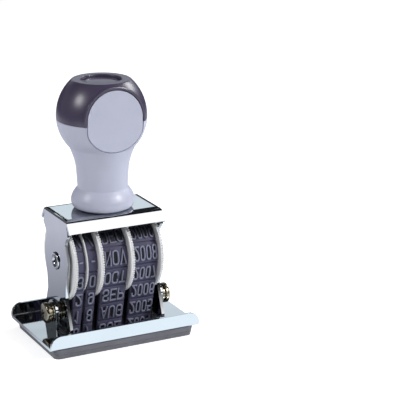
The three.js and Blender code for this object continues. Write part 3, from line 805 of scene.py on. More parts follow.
def pale_shell():
    beyond = THROAT_HEIGHT + BEYOND_THROAT
    foot = spline(scaled(FOOT_KNOTS), CURVE_STEPS)
    neck = spline([*scaled(NECK_KNOTS), (ball_at(beyond), beyond)], CURVE_STEPS)[1:-CURVE_STEPS]
    ball = ball_stretch(THROAT_HEIGHT, SPLIT_HEIGHT)[1:]
    spigot_top = roof - CAP_GAP
    spigot = ball_stretch(SPLIT_HEIGHT, spigot_top, CAP_WALL + CAP_GAP)
    made = handle_turned("handle_body_shell", [
        (0, 0), (FOOT_SEAT, 0), (FOOT_SEAT, foot[0][1]), *foot, *neck, *ball, *spigot, (0, spigot_top)])
    for side in (-1, 1):
        collar = pad_slab(side, scaled(PALE_COLLAR), PAD_TAPER)
        combine(collar, half_space(FRAME_TOP + SPLIT_HEIGHT, False), "INTERSECT")
        combine(made, collar, "UNION")
        combine(made, pad_slab(side, [(0, PAD_ROOT), (0, PAD_REACH)]), "UNION")
        combine(made, beyond_pad(side), "DIFFERENCE")
        groove = pad_slab(side, [(CAP_GAP, PAD_REACH - PAD_GROOVE_DEPTH), (CAP_GAP, BALL_RADIUS)])
        combine(groove, pad_slab(side, [(0, PAD_ROOT), (0, BALL_RADIUS * 2)]), "DIFFERENCE")
        combine(made, groove, "DIFFERENCE")
    bore = [(0, -OVERRUN), (SCREW_BORE, -OVERRUN), (SCREW_BORE, SCREW_DEPTH), (0, SCREW_DEPTH)]
    combine(made, handle_turned("bore", bore), "DIFFERENCE")
    return smooth(made, SHELL_ANGLE)


place(pale_shell(), "frame", pale_plastic, "pale_shell", "handle_body")

# %% [markdown]
# ### Dark cap
# The cap is a hollow shell, open where the pads stand, with a collar round each and a recess for the
# disc. It is built solid and then hollowed, because a cut leaves clean edges where walls meet.

# %% Dark cap of the handle
RIM_CUT = 0.35 * MM
DARK_COLLAR = [(1.2, 7.4), (1.2, 10.72), (1.12, 10.88), (0.92, 11)]


def dark_cap():
    seat = SPLIT_HEIGHT + SEAM_GAP
    recess = DISC_RADIUS + CAP_GAP
    outside = ball_stretch(seat, HANDLE_TOP)
    rim = softened([(*outside[-2], 0), (*outside[-1], RIM_CUT), (recess, HANDLE_TOP, RIM_CUT),
                    (recess, recess_floor, 0)])
    made = handle_turned("handle_cap_shell", [(0, seat), *outside[:-2], *rim, (0, recess_floor)])
    inside = ball_stretch(seat, roof, CAP_WALL)
    below = SPLIT_HEIGHT - OVERRUN
    hollow = handle_turned("hollow", [(0, below), (inside[0][0], below), *inside, (0, roof)])
    for side in (-1, 1):
        collar = pad_slab(side, scaled(DARK_COLLAR))
        combine(collar, half_space(FRAME_TOP + seat, True), "INTERSECT")
        combine(made, collar, "UNION")
        combine(made, beyond_pad(side), "DIFFERENCE")
    combine(made, hollow, "DIFFERENCE")
    for side in (-1, 1):
        opening = pad_slab(side, [(CAP_GAP, PAD_ROOT - CAP_GAP), (CAP_GAP, BALL_RADIUS * 2)])
        combine(made, opening, "DIFFERENCE")
    return smooth(made, SHELL_ANGLE)


place(dark_cap(), "frame", dark_plastic, "dark_shell", "handle_cap")

# %% [markdown]
# ### Sunken disc
# A disc lies in the cap's recess. It is turned like the rest, with one low ring, and bare.

# %% Sunken disc in the cap
RING_STEP = 0.15 * MM
RING_RADIUS = 4.9 * MM
RING_WIDTH = 0.5 * MM
DISC_CUT = 0.1 * MM


def sunken_disc():
    top = HANDLE_TOP - DISC_DEPTH
    low = top - DISC_THICKNESS
    far = RING_RADIUS + RING_WIDTH
    small = DISC_CUT / 2
    return smooth(handle_turned("handle_disc", softened([
        (0, low, 0), (DISC_RADIUS, low, DISC_CUT), (DISC_RADIUS, top, DISC_CUT), (far, top, small),
        (far - DISC_CUT, top + RING_STEP, small), (RING_RADIUS + DISC_CUT, top + RING_STEP, small),
        (RING_RADIUS, top, small), (0, top, 0)])))


place(sunken_disc(), "frame", dark_plastic, "dark_shell", "handle_top_disc")

# %% [markdown]
# ## Frame, die plate and bridge
# The frame and the tray are bent from one millimetre sheet. They could be drawn again, but their packed
# shapes have the bends, so copies keep them and merge the flat faces. Broken edges show a cut edge as a
# bright line. The frame has no room for them: its edges stay crisp, and a small step becomes a slope.

# %% Bent sheets
EDGE = 0.1 * MM
STEP_HALF = 9.38 * MM
STEP_DROP = 0.38 * MM
STEP_RUN = 1.26 * MM
STEP_SLACK = 0.05 * MM
SHEET_ANGLE = 30


def without_steps(shape):
    """Turns the small step between the top and each flange into a slope."""
    for vert in shape.verts:
        rise = vert.co.z - FRAME_TOP + STEP_DROP
        if rise > 0 and abs(abs(vert.co.y) - STEP_HALF) < STEP_SLACK:
            vert.co.y -= math.copysign(rise / STEP_DROP * STEP_RUN, vert.co.y)


sheet = evened(smooth(merged_copy("frame_shell", "frame_sheet", without_steps), SHEET_ANGLE))
place(sheet, "frame", frame_chrome, "chrome_sheet", "frame_shell")
tray = broken_edges(merged_copy("die_plate", "die_tray"), EDGE)
place(tray, "plate", chrome, "chrome_sheet", "die_plate")
bridge = broken_edges(merged_copy("band_bridge", "nose_bridge"), EDGE)
place(bridge, "frame", black_steel, "dark_steel", "band_bridge")

# %% [markdown]
# ## Wheels
# A thumb wheel is a turned drum with a milled rim. The teeth could be drawn into an outline, but
# Geometry Nodes set one small round bar on each point of a circle, so their number is one input.

# %% Milled rim tree
TEETH = 96
WHEEL_RADIUS = 13.6 * MM
TOOTH_RADIUS = 0.27 * MM
TOOTH_CORE = 13.1 * MM
TOOTHED_WIDTH = 0.74 * MM
TOOTH_SIDES = 10
AXLE_HEIGHT = 28 * MM


def new_tree(name, **sockets):
    """A geometry tree with named inputs, its graph, and a way to reach each input."""
    tree = bpy.data.node_groups.new(name, "GeometryNodeTree")
    for title, kind in {"Geometry": "Geometry", **sockets}.items():
        tree.interface.new_socket(
            name=title.replace("_", " "), in_out="INPUT", socket_type="NodeSocket" + kind)
    tree.interface.new_socket(name="Geometry", in_out="OUTPUT", socket_type="NodeSocketGeometry")
    graph = Graph(tree)
    return tree, graph, graph.node("NodeGroupInput").out


def joined(graph, first, second):
    """Two pieces of geometry as one, all real."""
    both = graph.node("GeometryNodeJoinGeometry", {0: first})
    graph.tree.links.new(second.socket, both.socket.node.inputs[0])
    return graph.node("GeometryNodeRealizeInstances", {0: both})


def painted(graph, plain, finish):
    """Ends a tree with its finish."""
    whole = graph.node("GeometryNodeSetMaterial", {0: plain, "Material": finish})
    graph.node("NodeGroupOutput", {0: whole})


def run_tree(piece, tree, **values):
    """Runs a tree on a piece with its inputs set by identifier, and keeps the plain mesh."""
    step = piece.modifiers.new(tree.name, "NODES")
    step.node_group = tree
    for socket in tree.interface.items_tree:
        title = socket.name.replace(" ", "_").lower()
        if socket.in_out == "INPUT" and title in values:
            step[socket.identifier] = values[title]
    return settle(piece)


def milled_rim_tree():
    tree, graph, given = new_tree(
        "milled_rim", Teeth="Int", Circle_Radius="Float", Bar_Radius="Float", Bar_Length="Float",
        Centre="Vector", Finish="Material")
    circle = graph.node("GeometryNodeMeshCircle", {
        "Vertices": given("Teeth"), "Radius": given("Circle Radius")})
    bar = graph.node("GeometryNodeMeshCylinder", {
        "Vertices": TOOTH_SIDES, "Radius": given("Bar Radius"), "Depth": given("Bar Length")})
    bars = graph.node("GeometryNodeInstanceOnPoints", {"Points": circle, "Instance": bar})
    upright = graph.node("GeometryNodeTransform", {
        "Geometry": bars, "Translation": given("Centre"), "Rotation": (0, math.pi / 2, 0)})
    painted(graph, joined(graph, upright, given("Geometry")), given("Finish"))
    return tree


milled_rim = milled_rim_tree()
print("tree", milled_rim.name, "has", len(milled_rim.nodes), "nodes")

# %% [markdown]
# ### Four thumb wheels
# Each wheel has a drum for its band, one milled rim and a shallow dish. The tens wheel has its rim at
# the other end, and a thin flange that keeps the two day bands apart. Four drawings could do it, but
# one function with the shared parts keeps them alike.

# %% Four thumb wheels
DRUM_RADIUS = 9.9 * MM
BORE_RADIUS = 1.62 * MM
FLANGE_RADIUS = 12.3 * MM
FLANGE_THICKNESS = 0.5 * MM
WHEEL_CUT = 0.2 * MM
DISH_RADIUS = 12.2 * MM
DISH_HUB = 4.5 * MM
DISH_DEPTH = 0.6 * MM
TOOTH_INSET = 0.02 * MM
TOOTH_ANGLE = 50
AXLE_MIDDLE = (0, 0, AXLE_HEIGHT)
RIM_WIDTHS = {"day_tens": 1.1 * MM, "day_units": 1.5 * MM, "month": 1.5 * MM, "year": 1.1 * MM}


def dished(face, floor):
    """A dish in a face, from the hub outwards."""
    return [(DISH_HUB, face, WHEEL_CUT), (DISH_HUB, floor, WHEEL_CUT),
            (DISH_RADIUS, floor, WHEEL_CUT), (DISH_RADIUS, face, WHEEL_CUT)]


def rim(first, last):
    """A rim whose right part is cut down to the teeth's core."""
    toothed = last - TOOTHED_WIDTH
    return [(WHEEL_RADIUS, first, WHEEL_CUT), (WHEEL_RADIUS, toothed, WHEEL_CUT / 4),
            (TOOTH_CORE, toothed, 0), (TOOTH_CORE, last, 0)]


def thumb_wheel(name, rim_width):
    """A drum with a rim at one end, between the wheel's packed ends."""
    start, end = (corner.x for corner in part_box(name + "_wheel"))
    if name == "day_tens":
        last = start + rim_width
        flange = end - FLANGE_THICKNESS
        outside = [*dished(start, start + DISH_DEPTH), *rim(start, last), (DRUM_RADIUS, last, 0),
                   (DRUM_RADIUS, flange, 0), (FLANGE_RADIUS, flange, WHEEL_CUT),
                   (FLANGE_RADIUS, end, WHEEL_CUT)]
    else:
        first, last = end - rim_width, end
        outside = [(DRUM_RADIUS, start, 0), (DRUM_RADIUS, first, 0), *rim(first, last),
                   *reversed(dished(end, end - DISH_DEPTH))]
    profile = [(BORE_RADIUS, start, 0), *outside, (BORE_RADIUS, end, 0), (BORE_RADIUS, start, 0)]
    made = smooth(turned(name + "_thumb_wheel", softened(profile), "X", ROUND_WHEEL, AXLE_MIDDLE))
    run_tree(made, milled_rim, teeth=TEETH, circle_radius=WHEEL_RADIUS - TOOTH_RADIUS,
             bar_radius=TOOTH_RADIUS, bar_length=TOOTHED_WIDTH - TOOTH_INSET * 2,
             centre=(last - TOOTHED_WIDTH / 2, 0, AXLE_HEIGHT), finish=ivory)
    return smooth(made, TOOTH_ANGLE)


for name, rim_width in RIM_WIDTHS.items():
    place(thumb_wheel(name, rim_width), name, ivory, "ivory_plastic", name + "_wheel")

# %% [markdown]
# ## Bands
# A band is a rubber belt with a raised cell for each figure or word. It could be modelled as it lies
# round its wheel, but flat it is simple: cells in a row, with type on each. Geometry Nodes set them
# along a line and then lay the whole row round the belt's path. The path goes round the wheel above
# and the bridge's nose below, with a straight run between them on each side.

# %% Path of the belt
BAND_INSIDE = 10.1 * MM
BAND_BASE = 0.8 * MM
BAND_PAD = 0.4 * MM
BAND_TYPE = 0.5 * MM
BAND_GROOVE = 0.5 * MM
BAND_CELLS = 14
BAND_CREEP = 1.1 * MM
NOSE_RADIUS = 1.2 * MM
NOSE_HALF = 2.8 * MM
NEUTRAL = BAND_BASE / 2
NOSE_HEIGHT = BAND_BASE + BAND_PAD + BAND_TYPE + NOSE_RADIUS
PATH_STEPS = 360

reach_down = AXLE_HEIGHT - NOSE_HEIGHT
slant = (math.asin((BAND_INSIDE - NOSE_RADIUS) / math.hypot(NOSE_HALF, reach_down))
         - math.atan2(NOSE_HALF, reach_down))
straight = math.sqrt(NOSE_HALF ** 2 + reach_down ** 2 - (BAND_INSIDE - NOSE_RADIUS) ** 2)
nose_end = NOSE_HALF + (NOSE_RADIUS + NEUTRAL) * (math.pi / 2 - slant)
straight_end = nose_end + straight
half_belt = straight_end + (BAND_INSIDE + NEUTRAL) * (math.pi / 2 + slant)
cell_pitch = half_belt * 2 / BAND_CELLS


def belt_point(along, offset):
    """A point (y, z) of the belt, from its length off the nose's middle and its height off the inside."""
    side = -1 if along < 0 else 1
    length = abs(along)
    if length <= NOSE_HALF:
        y, z = length, NOSE_HEIGHT - NOSE_RADIUS - offset
    elif length <= nose_end:
        angle = (length - NOSE_HALF) / (NOSE_RADIUS + NEUTRAL)
        radius = NOSE_RADIUS + offset
        y, z = NOSE_HALF + radius * math.sin(angle), NOSE_HEIGHT - radius * math.cos(angle)
    elif length <= straight_end:
        run = length - nose_end
        radius = NOSE_RADIUS + offset
        y = NOSE_HALF + radius * math.cos(slant) + run * math.sin(slant)
        z = NOSE_HEIGHT - radius * math.sin(slant) + run * math.cos(slant)
    else:
        angle = (length - straight_end) / (BAND_INSIDE + NEUTRAL) - slant
        radius = BAND_INSIDE + offset
        y, z = radius * math.cos(angle), AXLE_HEIGHT + radius * math.sin(angle)
    return y * side, z


def belt_path():
    data = bpy.data.curves.new("belt_path", "CURVE")
    data.dimensions = "3D"
    line = data.splines.new("POLY")
    line.points.add(PATH_STEPS - 1)
    line.use_cyclic_u = True
    for i, point in enumerate(line.points):
        y, z = belt_point(-half_belt + half_belt * 2 * i / PATH_STEPS, NEUTRAL)
        point.co = (0, y, z, 1)
    made = bpy.data.objects.new("belt_path", data)
    scene.collection.objects.link(made)
    return made


path = belt_path()
print("belt length", round(half_belt * 2 / MM, 2), "mm, pitch", round(cell_pitch / MM, 3), "mm")

# %% [markdown]
# ### Blank cell
# Each cell is a flat rubber block with its upper edges broken. A plain block would stay straight on
# the wheel, so it is cut across into short stretches that can bend.

# %% Blank cell
BEND_STEPS = 8
SINK = 0.05 * MM
CELL_CUT = 0.1 * MM


def bend_cuts(shape, reach):
    """Cuts a flat shape across, so that it can bend along its length."""
    for i in range(1, BEND_STEPS):
        spot = (reach * (2 * i / BEND_STEPS - 1), 0, 0)
        geometry = shape.verts[:] + shape.edges[:] + shape.faces[:]
        bmesh.ops.bisect_plane(shape, geom=geometry, plane_co=spot, plane_no=(1, 0, 0))


def blank_cell(width):
    """One raised cell, flat: its length along X, its width along Y."""
    shape = bmesh.new()
    length = cell_pitch - BAND_GROOVE
    low, high = NEUTRAL - SINK, NEUTRAL + BAND_PAD
    bmesh.ops.create_cube(shape, size=1)
    for vertex in shape.verts:
        x, y, z = vertex.co
        vertex.co = (x * length, y * width, low if z < 0 else high)
    top = [edge for edge in shape.edges if all(vertex.co.z > (low + high) / 2 for vertex in edge.verts)]
    bmesh.ops.bevel(shape, geom=top, offset=CELL_CUT, segments=EDGE_SEGMENTS, affect="EDGES", profile=0.5)
    bend_cuts(shape, length / 2)
    return new_object("blank_cell", shape)


print("cells have", BEND_STEPS, "stretches each")

# %% [markdown]
# ## Type
# Stamp type is narrow lettering with an even, rounded stroke. Each character is a few lines on a
# grid 4 wide and 8 high: two digits give a place, corners are rounded, and a mark keeps one sharp. It
# could be set in a font, but then its strokes would have no rounded section and no even width.
# Shade between its strokes and to their left is painted: a thin black plate lies under each character.

# %% Stroke lettering
LINES = {
    "0": "00 40 48 08 00", "1": "06 28! 20", "2": "06 08 48 44 00! 40",
    "3": "07 08 48 44 14!, 14! 44 40 00 01", "4": "38 02! 42, 34 30",
    "5": "48 08! 05! 45 40 00 01", "6": "47 48 08 00 40 45 05", "7": "08 48! 10",
    "8": "04 44 48 08 04, 00 40 44 04 00", "9": "01 00 40 48 08 03 43", "A": "00 28! 40, 13 33",
    "B": "00! 08! 48 44! 04, 34 44 40 00!", "C": "46 48 08 00 40 42", "D": "00! 08! 48 40 00!",
    "E": "48 08! 00! 40, 04 34", "F": "48 08! 00, 04 34", "G": "46 48 08 00 40 44! 24",
    "J": "48 40 00 02", "L": "08 00! 40", "M": "00 08! 24! 48! 40", "N": "00 08! 40! 48",
    "O": "00 40 48 08 00", "P": "00 08! 48 44 04", "R": "00 08! 48 44 04, 24 40",
    "S": "46 48 08 04 44 40 00 02", "T": "08 48, 28 20", "U": "08 00 40 48", "V": "08 20! 48",
    "Y": "08 24! 48, 24 20", "-": "14 34", "/": "00 48", ".": "20 21",
}
GRID_WIDE = 4
GRID_HIGH = 8
TYPE_HEIGHT = 4.7 * MM
STROKE_HALF = 0.24 * MM
STROKE_FOOT = 0.3 * MM
STROKE_CROWN = 0.16 * MM
CROWN_DROP = 0.08 * MM
TYPE_ROUND = 1.1 * MM
LETTER_GAP = 0.34 * MM
# The plate of painted shade stands this high over the ground and reaches this far left of the strokes.
SHADE_PLATE_RISE = 0.03 * MM
SHADE_PLATE_SPREAD = 0.4 * MM
ROUND_STEPS = 6
SHARPEST_TURN = 0.4
SAME_SPOT = 0.001 * MM
TYPE_GROUND = NEUTRAL + BAND_PAD
TYPE_FACE = TYPE_GROUND + BAND_TYPE


def centre_line(marks, left, width):
    """A stroke's rounded centre line as (across, up) places, and whether it closes."""
    spots = []
    for mark in marks.split():
        across = left + STROKE_HALF + (width - STROKE_HALF * 2) * int(mark[0]) / GRID_WIDE
        up = -TYPE_HEIGHT / 2 + STROKE_HALF + (TYPE_HEIGHT - STROKE_HALF * 2) * int(mark[1]) / GRID_HIGH
        spots.append((Vector((across, up)), "!" not in mark))
    closed = spots[0][0] == spots[-1][0]
    if closed:
        spots.pop()
    line = []
    for i, (spot, rounded) in enumerate(spots):
        if not rounded or (not closed and i in (0, len(spots) - 1)):
            line.append(tuple(spot))
            continue
        ends = [spots[i - 1][0] - spot, spots[(i + 1) % len(spots)][0] - spot]
        start, end = (spot + side.normalized() * min(TYPE_ROUND, side.length / 2) for side in ends)
        line += curved(start, spot, end, ROUND_STEPS)
    places = [Vector(place) for place in line]
    apart = [place for i, place in enumerate(places) if (place - places[i - 1]).length > SAME_SPOT]
    return apart, closed


def raised_stroke(shape, level, spots, closed):
    """Sweeps the stroke's section along its centre line, with level 1 on its face and 0 at its foot."""
    half = [(STROKE_CROWN, TYPE_FACE, 1), (STROKE_HALF, TYPE_FACE - CROWN_DROP, 1),
            (STROKE_FOOT, TYPE_GROUND - SINK, 0)]
    section = [(-offset, height, value) for offset, height, value in reversed(half)] + half
    count = len(spots)
    rings = []
    for i, spot in enumerate(spots):
        before = spots[i - 1] if closed or i else spot * 2 - spots[1]
        after = spots[(i + 1) % count] if closed or i + 1 < count else spot * 2 - spots[-2]
        ahead = (after - spot).normalized()
        behind = (spot - before).normalized()
        middle = (ahead + behind).normalized()
        side = Vector((-middle.y, middle.x)) / max(SHARPEST_TURN, middle.dot(ahead))
        if not closed and i in (0, count - 1):
            spot = spot + middle * STROKE_HALF * (1 if i else -1)
        ring = []
        for offset, height, value in section:
            across, up = spot + side * offset
            vertex = shape.verts.new((up, across, height))
            vertex[level] = value
            ring.append(vertex)
        rings.append(ring)
    skinned(shape, rings, closed)


def hull_of(spots):
    """The corners of the smallest bulging outline round some places."""
    ordered = sorted(set((round(a, 7), round(b, 7)) for a, b in spots))
    hull = []
    for run in (ordered, ordered[::-1]):
        chain = []
        for a, b in run:
            while len(chain) > 1 and ((chain[-1][0] - chain[-2][0]) * (b - chain[-2][1])
                                      <= (chain[-1][1] - chain[-2][1]) * (a - chain[-2][0])):
                chain.pop()
            chain.append((a, b))
        hull += chain[:-1]
    return hull


def shade_plate(shape, level, spots):
    """A plate of painted shade under a character, round its strokes and left of them, with level -1 all
    over.
    """
    hull = hull_of(spots)
    if len(hull) < 3:
        return
    rings = [[shape.verts.new((up, across, height)) for across, up in hull]
             for height in (TYPE_GROUND - SINK, TYPE_GROUND + SHADE_PLATE_RISE)]
    for vertex in rings[0] + rings[1]:
        vertex[level] = -1
    skinned(shape, rings)


def type_mesh(text, width, name):
    """Raised type for one cell, flat: its upright along X."""
    shape = bmesh.new()
    level = shape.verts.layers.float.new("raised")
    letter = (width - LETTER_GAP * (len(text) - 1)) / len(text)
    for i, character in enumerate(text):
        spots = []
        for marks in LINES[character].split(", "):
            line, closed = centre_line(marks, -width / 2 + i * (letter + LETTER_GAP), letter)
            raised_stroke(shape, level, line, closed)
            # The painted shade reaches left of each stroke, where its shadow falls.
            spots += [*line, *((across - SHADE_PLATE_SPREAD, up) for across, up in line)]
        shade_plate(shape, level, spots)
    bend_cuts(shape, TYPE_HEIGHT / 2)
    return new_object(name, shape)


print(len(LINES), "characters, each", round(TYPE_HEIGHT / MM, 1), "mm high")

# %% [markdown]
# ### The row laid round the belt
# Flat, the cells stand in a row along X. The tree finds where each point's length falls on the path
# and moves it there, with Z outwards and Y across. Cells could be turned into place one by one, but
# then they would stay flat on the round wheel.


# %% Tree that lays a row round the belt
def dressed_band_tree():
    tree, graph, given = new_tree(
        "dressed_band", Path="Object", Cell="Object", Type="Collection", Cells="Int", Pitch="Float",
        Start="Float", Middle="Float", Finish="Material")
    first = graph.node("ShaderNodeCombineXYZ", {0: given("Start")})
    step = graph.node("ShaderNodeCombineXYZ", {0: given("Pitch")})
    row = graph.node("GeometryNodeMeshLine", {
        "Count": given("Cells"), "Start Location": first, "Offset": step}, mode="OFFSET")
    cell = graph.node("GeometryNodeObjectInfo", {"Object": given("Cell")}).out("Geometry")
    type_set = graph.node("GeometryNodeCollectionInfo", {
        "Collection": given("Type"), "Separate Children": True, "Reset Children": True})
    cells = graph.node("GeometryNodeInstanceOnPoints", {"Points": row, "Instance": cell})
    words = graph.node("GeometryNodeInstanceOnPoints", {
        "Points": row, "Instance": type_set, "Pick Instance": True,
        "Instance Index": graph.node("GeometryNodeInputIndex")})
    flat = joined(graph, cells, words)
    x, y, z = graph.parts(graph.node("GeometryNodeInputPosition"))
    line = graph.node("GeometryNodeObjectInfo", {"Object": given("Path")}).out("Geometry")
    total = graph.node("GeometryNodeCurveLength", {0: line})
    length = x.math("FLOORED_MODULO", x + total / 2, total)
    sampled = graph.node("GeometryNodeSampleCurve", {"Curves": line, "Length": length}, mode="LENGTH")
    outward = graph.vector("CROSS_PRODUCT", sampled.out("Tangent"), (1, 0, 0))
    raised = graph.node("ShaderNodeVectorMath", {0: outward, "Scale": z}, operation="SCALE")
    across = graph.node("ShaderNodeCombineXYZ", {0: y + given("Middle")})
    target = graph.vector("ADD", graph.vector("ADD", sampled.out("Position"), raised), across)
    laid = graph.node("GeometryNodeSetPosition", {"Geometry": flat, "Position": target})
    painted(graph, joined(graph, laid, given("Geometry")), given("Finish"))
    return tree


dressed_band = dressed_band_tree()
print("tree", dressed_band.name, "has", len(dressed_band.nodes), "nodes")

# %% [markdown]
# ### Four bands
# Day tens, day units, month and year each have a row of type, set so that the photograph's rows face
# the camera. Any figure could stand on any cell, so a row is one line of text here.

# %% Four bands
MONTHS = "JAN FEB MAR APR MAY JUN JUL AUG SEP OCT NOV DEC".split()
FIRST_YEAR = 2003
ROWS = {
    "day_tens": [*".0123-/.0123-/"],
    "day_units": [*"67890-/.-12345"],
    "month": [*MONTHS[5:], "-", "/", *MONTHS[:5]],
    "year": [str(FIRST_YEAR + i) for i in range(BAND_CELLS)],
}
TYPE_WIDTHS = {"day_tens": 2.1 * MM, "day_units": 2.1 * MM, "month": 7.9 * MM, "year": 8.4 * MM}
SIGN_WIDTH = 2.1 * MM
BAND_ANGLE = 40


def belt_strip(name, near, far):
    """The belt under the cells, as a closed strip."""
    shape = bmesh.new()
    count = PATH_STEPS // 2
    places = [-half_belt + half_belt * 2 * i / count for i in range(count)]
    corners = ((0, near), (0, far), (BAND_BASE, far), (BAND_BASE, near))
    skinned(shape, [[shape.verts.new((x, *belt_point(along, offset))) for along in places]
                    for offset, x in corners], endless=True)
    return new_object(name, shape)


def rubber_band(name):
    """A belt with its cells and type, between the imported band's two sides."""
    near, far = (corner.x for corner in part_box(name + "_band"))
    words = bpy.data.collections.new(name + "_type")
    scene.collection.children.link(words)
    half = BAND_CELLS // 2
    for j in range(BAND_CELLS):
        text = ROWS[name][(half - j) % BAND_CELLS]
        letters = type_mesh(text, TYPE_WIDTHS[name] if len(text) > 1 else SIGN_WIDTH, f"{name}_{j:02d}")
        scene.collection.objects.unlink(letters)
        words.objects.link(letters)
    cell = blank_cell(far - near)
    made = belt_strip(name + "_rubber", near, far)
    run_tree(made, dressed_band, path=path, cell=cell, type=words, cells=BAND_CELLS, pitch=cell_pitch,
             start=-half * cell_pitch + BAND_CREEP, middle=(near + far) / 2, finish=band_rubber)
    for helper in [*words.objects, cell]:
        bpy.data.objects.remove(helper)
    bpy.data.collections.remove(words)
    return smooth(made, BAND_ANGLE)


for name in ROWS:
    place(rubber_band(name), "frame", band_rubber, "band_rubber", name + "_band")
bpy.data.objects.remove(path)

# %% [markdown]
# ## Axle
# The wheels turn on a plated rod whose ends are rolled into round heads with an eye. A plain pin would
# do inside, but the bright ring round a dark eye shows. One half is drawn and mirrored.

# %% Axle with rolled heads
AXLE_RADIUS = 1.5 * MM
AXLE_HEAD_RADIUS = 3 * MM
AXLE_HEAD_THICKNESS = 0.6 * MM
AXLE_HEAD_CUT = 0.1 * MM
AXLE_ROLL_START = 0.3 * MM
AXLE_ROLL_CUT = 0.25 * MM
AXLE_CROWN_RADIUS = 2.3 * MM
AXLE_EYE_RADIUS = 1.3 * MM
AXLE_EYE_DEPTH = 5 * MM
AXLE_LIP = 0.1 * MM
AXLE_LIP_DEPTH = 0.7 * MM
AXLE_LIP_CUT = 0.4 * MM


def rolled_axle():
    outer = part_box("wheel_axle")[1].x
    inner = outer - AXLE_HEAD_THICKNESS
    floor = outer - AXLE_EYE_DEPTH
    right = softened([
        (AXLE_RADIUS, inner, 0), (AXLE_HEAD_RADIUS, inner, AXLE_HEAD_CUT),
        (AXLE_HEAD_RADIUS, outer - AXLE_ROLL_START, AXLE_ROLL_CUT),
        (AXLE_CROWN_RADIUS, outer, AXLE_LIP_CUT),
        (AXLE_EYE_RADIUS + AXLE_LIP, outer - AXLE_LIP_DEPTH, AXLE_LIP_CUT),
        (AXLE_EYE_RADIUS, floor, 0), (0, floor, 0)])
    left = [(radius, -along) for radius, along in reversed(right)]
    return smooth(turned("axle_rod", left + right, "X", ROUND_SMALL, AXLE_MIDDLE))


place(rolled_axle(), "frame", plated_steel, "plated_steel", "wheel_axle")

# %% [markdown]
# ## Clamp screws
# The clamp screws are pan heads with a cross recess. The recess could be drawn into the head's mesh,
# but two wedges cut it as a punch does. Both sides are one drawing, turned round for the left.

# %% Pan-head screws
SCREW_PLACE = Vector((0, -1.5 * MM, 10.8 * MM))
SCREW_RADIUS = 1.25 * MM
SCREW_TIP_CUT = 0.2 * MM
SCREW_HEAD_RADIUS = 3.45 * MM
SCREW_HEAD_THICKNESS = 1.8 * MM
HEAD_CUT = 0.1 * MM
HEAD_SHOULDER_CUT = 0.15 * MM
DOME_HEIGHT = 0.75 * MM
DOME_STEP = math.radians(15)
RECESS_WIDTH = 0.75 * MM
RECESS_LENGTH = 3.7 * MM
RECESS_DEPTH = 0.95 * MM
RECESS_FLOOR_SHARE = 0.55
RECESS_TURNS = {"left": math.radians(28), "right": math.radians(-12)}
SIDES = {"right": 0, "left": math.pi}


def reach(node):
    """How far from the middle a side's node starts and ends."""
    return sorted(abs(corner.x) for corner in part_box(node))


def stood(piece, side):
    """Moves a fastener, drawn round the X axis and towards +X, to its place on its side."""
    piece.data.transform(Matrix.Translation(SCREW_PLACE) @ Matrix.Rotation(SIDES[side], 4, "Z"))
    return piece


def clamp_screw(side):
    tip, head = reach(side + "_clamp_screw")
    shoulder, crown = head - SCREW_HEAD_THICKNESS, head - DOME_HEIGHT
    dome = [(SCREW_HEAD_RADIUS * math.cos(a), crown + (head - crown) * math.sin(a))
            for a in (DOME_STEP * k for k in range(1, 6))]
    profile = softened([
        (0, tip, 0), (SCREW_RADIUS, tip, SCREW_TIP_CUT), (SCREW_RADIUS, shoulder, 0),
        (SCREW_HEAD_RADIUS, shoulder, HEAD_CUT), (SCREW_HEAD_RADIUS, crown, HEAD_SHOULDER_CUT)])
    made = turned(side + "_pan_screw", [*profile, *dome, (0, head)], "X", ROUND_SMALL)
    half, floor = RECESS_LENGTH / 2, head - RECESS_DEPTH
    floor_half = half * RECESS_FLOOR_SHARE
    wall = [(-half, head + OVERRUN), (half, head + OVERRUN), (floor_half, floor), (-floor_half, floor)]
    for quarter in (0, math.pi / 2):
        bar = loft("recess", [(wall, -RECESS_WIDTH / 2), (wall, RECESS_WIDTH / 2)])
        turn = Matrix.Rotation(quarter + RECESS_TURNS[side], 4, "X")
        bar.data.transform(turn @ Matrix.Rotation(math.pi / 2, 4, "Y"))
        combine(made, bar, "DIFFERENCE")
    return smooth(stood(made, side))


print("a screw's recess is", round(RECESS_DEPTH / MM, 2), "mm deep")

# %% [markdown]
# ## Washers and nuts
# Under each head lie a split washer, whose cut ends stand apart, and a plain one, and behind the ear
# is the nut. The split washer is a square section swept round with a slight lean, because a turned
# ring can't have a cut. The plain one is turned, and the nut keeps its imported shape.

# %% Washers and nuts
WASHER_BORE = 1.45 * MM
WASHER_SPREAD = 0.12 * MM
WASHER_STEPS = 96
WASHER_START = math.radians(96)
WASHER_SWEEP = math.radians(348)
WASHER_EDGE = 0.06 * MM
PLAIN_CUT = 0.12 * MM
NUT_EDGE = 0.08 * MM


def outer_radius(node):
    low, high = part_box(node)
    return (high.y - low.y) / 2


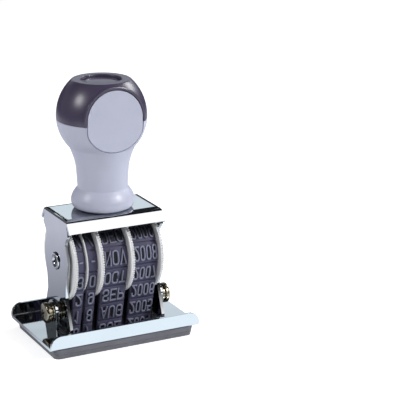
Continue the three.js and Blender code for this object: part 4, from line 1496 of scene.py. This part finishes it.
def split_washer(side):
    """A square-section ring with one cut, whose ends are sprung apart."""
    near, far = reach(side + "_lock_washer")
    outer = outer_radius(side + "_lock_washer")
    shape = bmesh.new()
    corners = (WASHER_BORE, near), (outer, near), (outer, far), (WASHER_BORE, far)
    sections = []
    for i in range(WASHER_STEPS + 1):
        share = i / WASHER_STEPS
        angle = WASHER_START + share * WASHER_SWEEP
        lean = (share - 0.5) * WASHER_SPREAD
        sections.append([
            shape.verts.new((along + lean, radius * math.cos(angle), radius * math.sin(angle)))
            for radius, along in corners])
    skinned(shape, sections)
    return broken_edges(stood(new_object(side + "_split_washer", shape), side), WASHER_EDGE)


def plain_washer(side):
    """A flat ring with rounded rims."""
    near, far = reach(side + "_flat_washer")
    outer = outer_radius(side + "_flat_washer")
    profile = [(WASHER_BORE, near, 0), (outer, near, PLAIN_CUT), (outer, far, PLAIN_CUT),
               (WASHER_BORE, far, 0), (WASHER_BORE, near, 0)]
    made = turned(side + "_plain_washer", softened(profile), "X", ROUND_SMALL)
    return smooth(stood(made, side))


for side in SIDES:
    place(clamp_screw(side), side + "_screw", clamp_metal, "clamp_metal", side + "_clamp_screw")
    place(split_washer(side), "frame", clamp_metal, "clamp_metal", side + "_lock_washer")
    place(plain_washer(side), "frame", clamp_metal, "clamp_metal", side + "_flat_washer")
    nut = broken_edges(merged_copy(side + "_clamp_nut", side + "_round_nut"), NUT_EDGE)
    place(nut, "frame", clamp_metal, "clamp_metal", side + "_clamp_nut")

# %% [markdown]
# ## Rubber
# Under the plate lies a springy cushion with sloping sides, and under that the die with its printing
# lines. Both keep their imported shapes, and their edges are broken more widely than those of the metal,
# because moulded rubber is soft at every edge.

# %% Cushion and die
RUBBER_EDGE = 0.18 * MM
for node, name in {"cushion": "foam_cushion", "text_die": "printing_die"}.items():
    piece = broken_edges(merged_copy(node, name), RUBBER_EDGE)
    place(piece, "plate", grey_rubber, "grey_rubber", node)

# %% [markdown]
# ## Handle screw
# The screw that holds the handle and its washer are turned parts. They could be drawn again like the
# axle, but only their edge shows between the wheels and the frame's top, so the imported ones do.

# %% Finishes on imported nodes
for node in ("handle_screw", "handle_washer"):
    packed = frame["nodes"][node]
    packed.data.materials.clear()
    packed.data.materials.append(plated_steel)
    print(node, "keeps its packed shape")
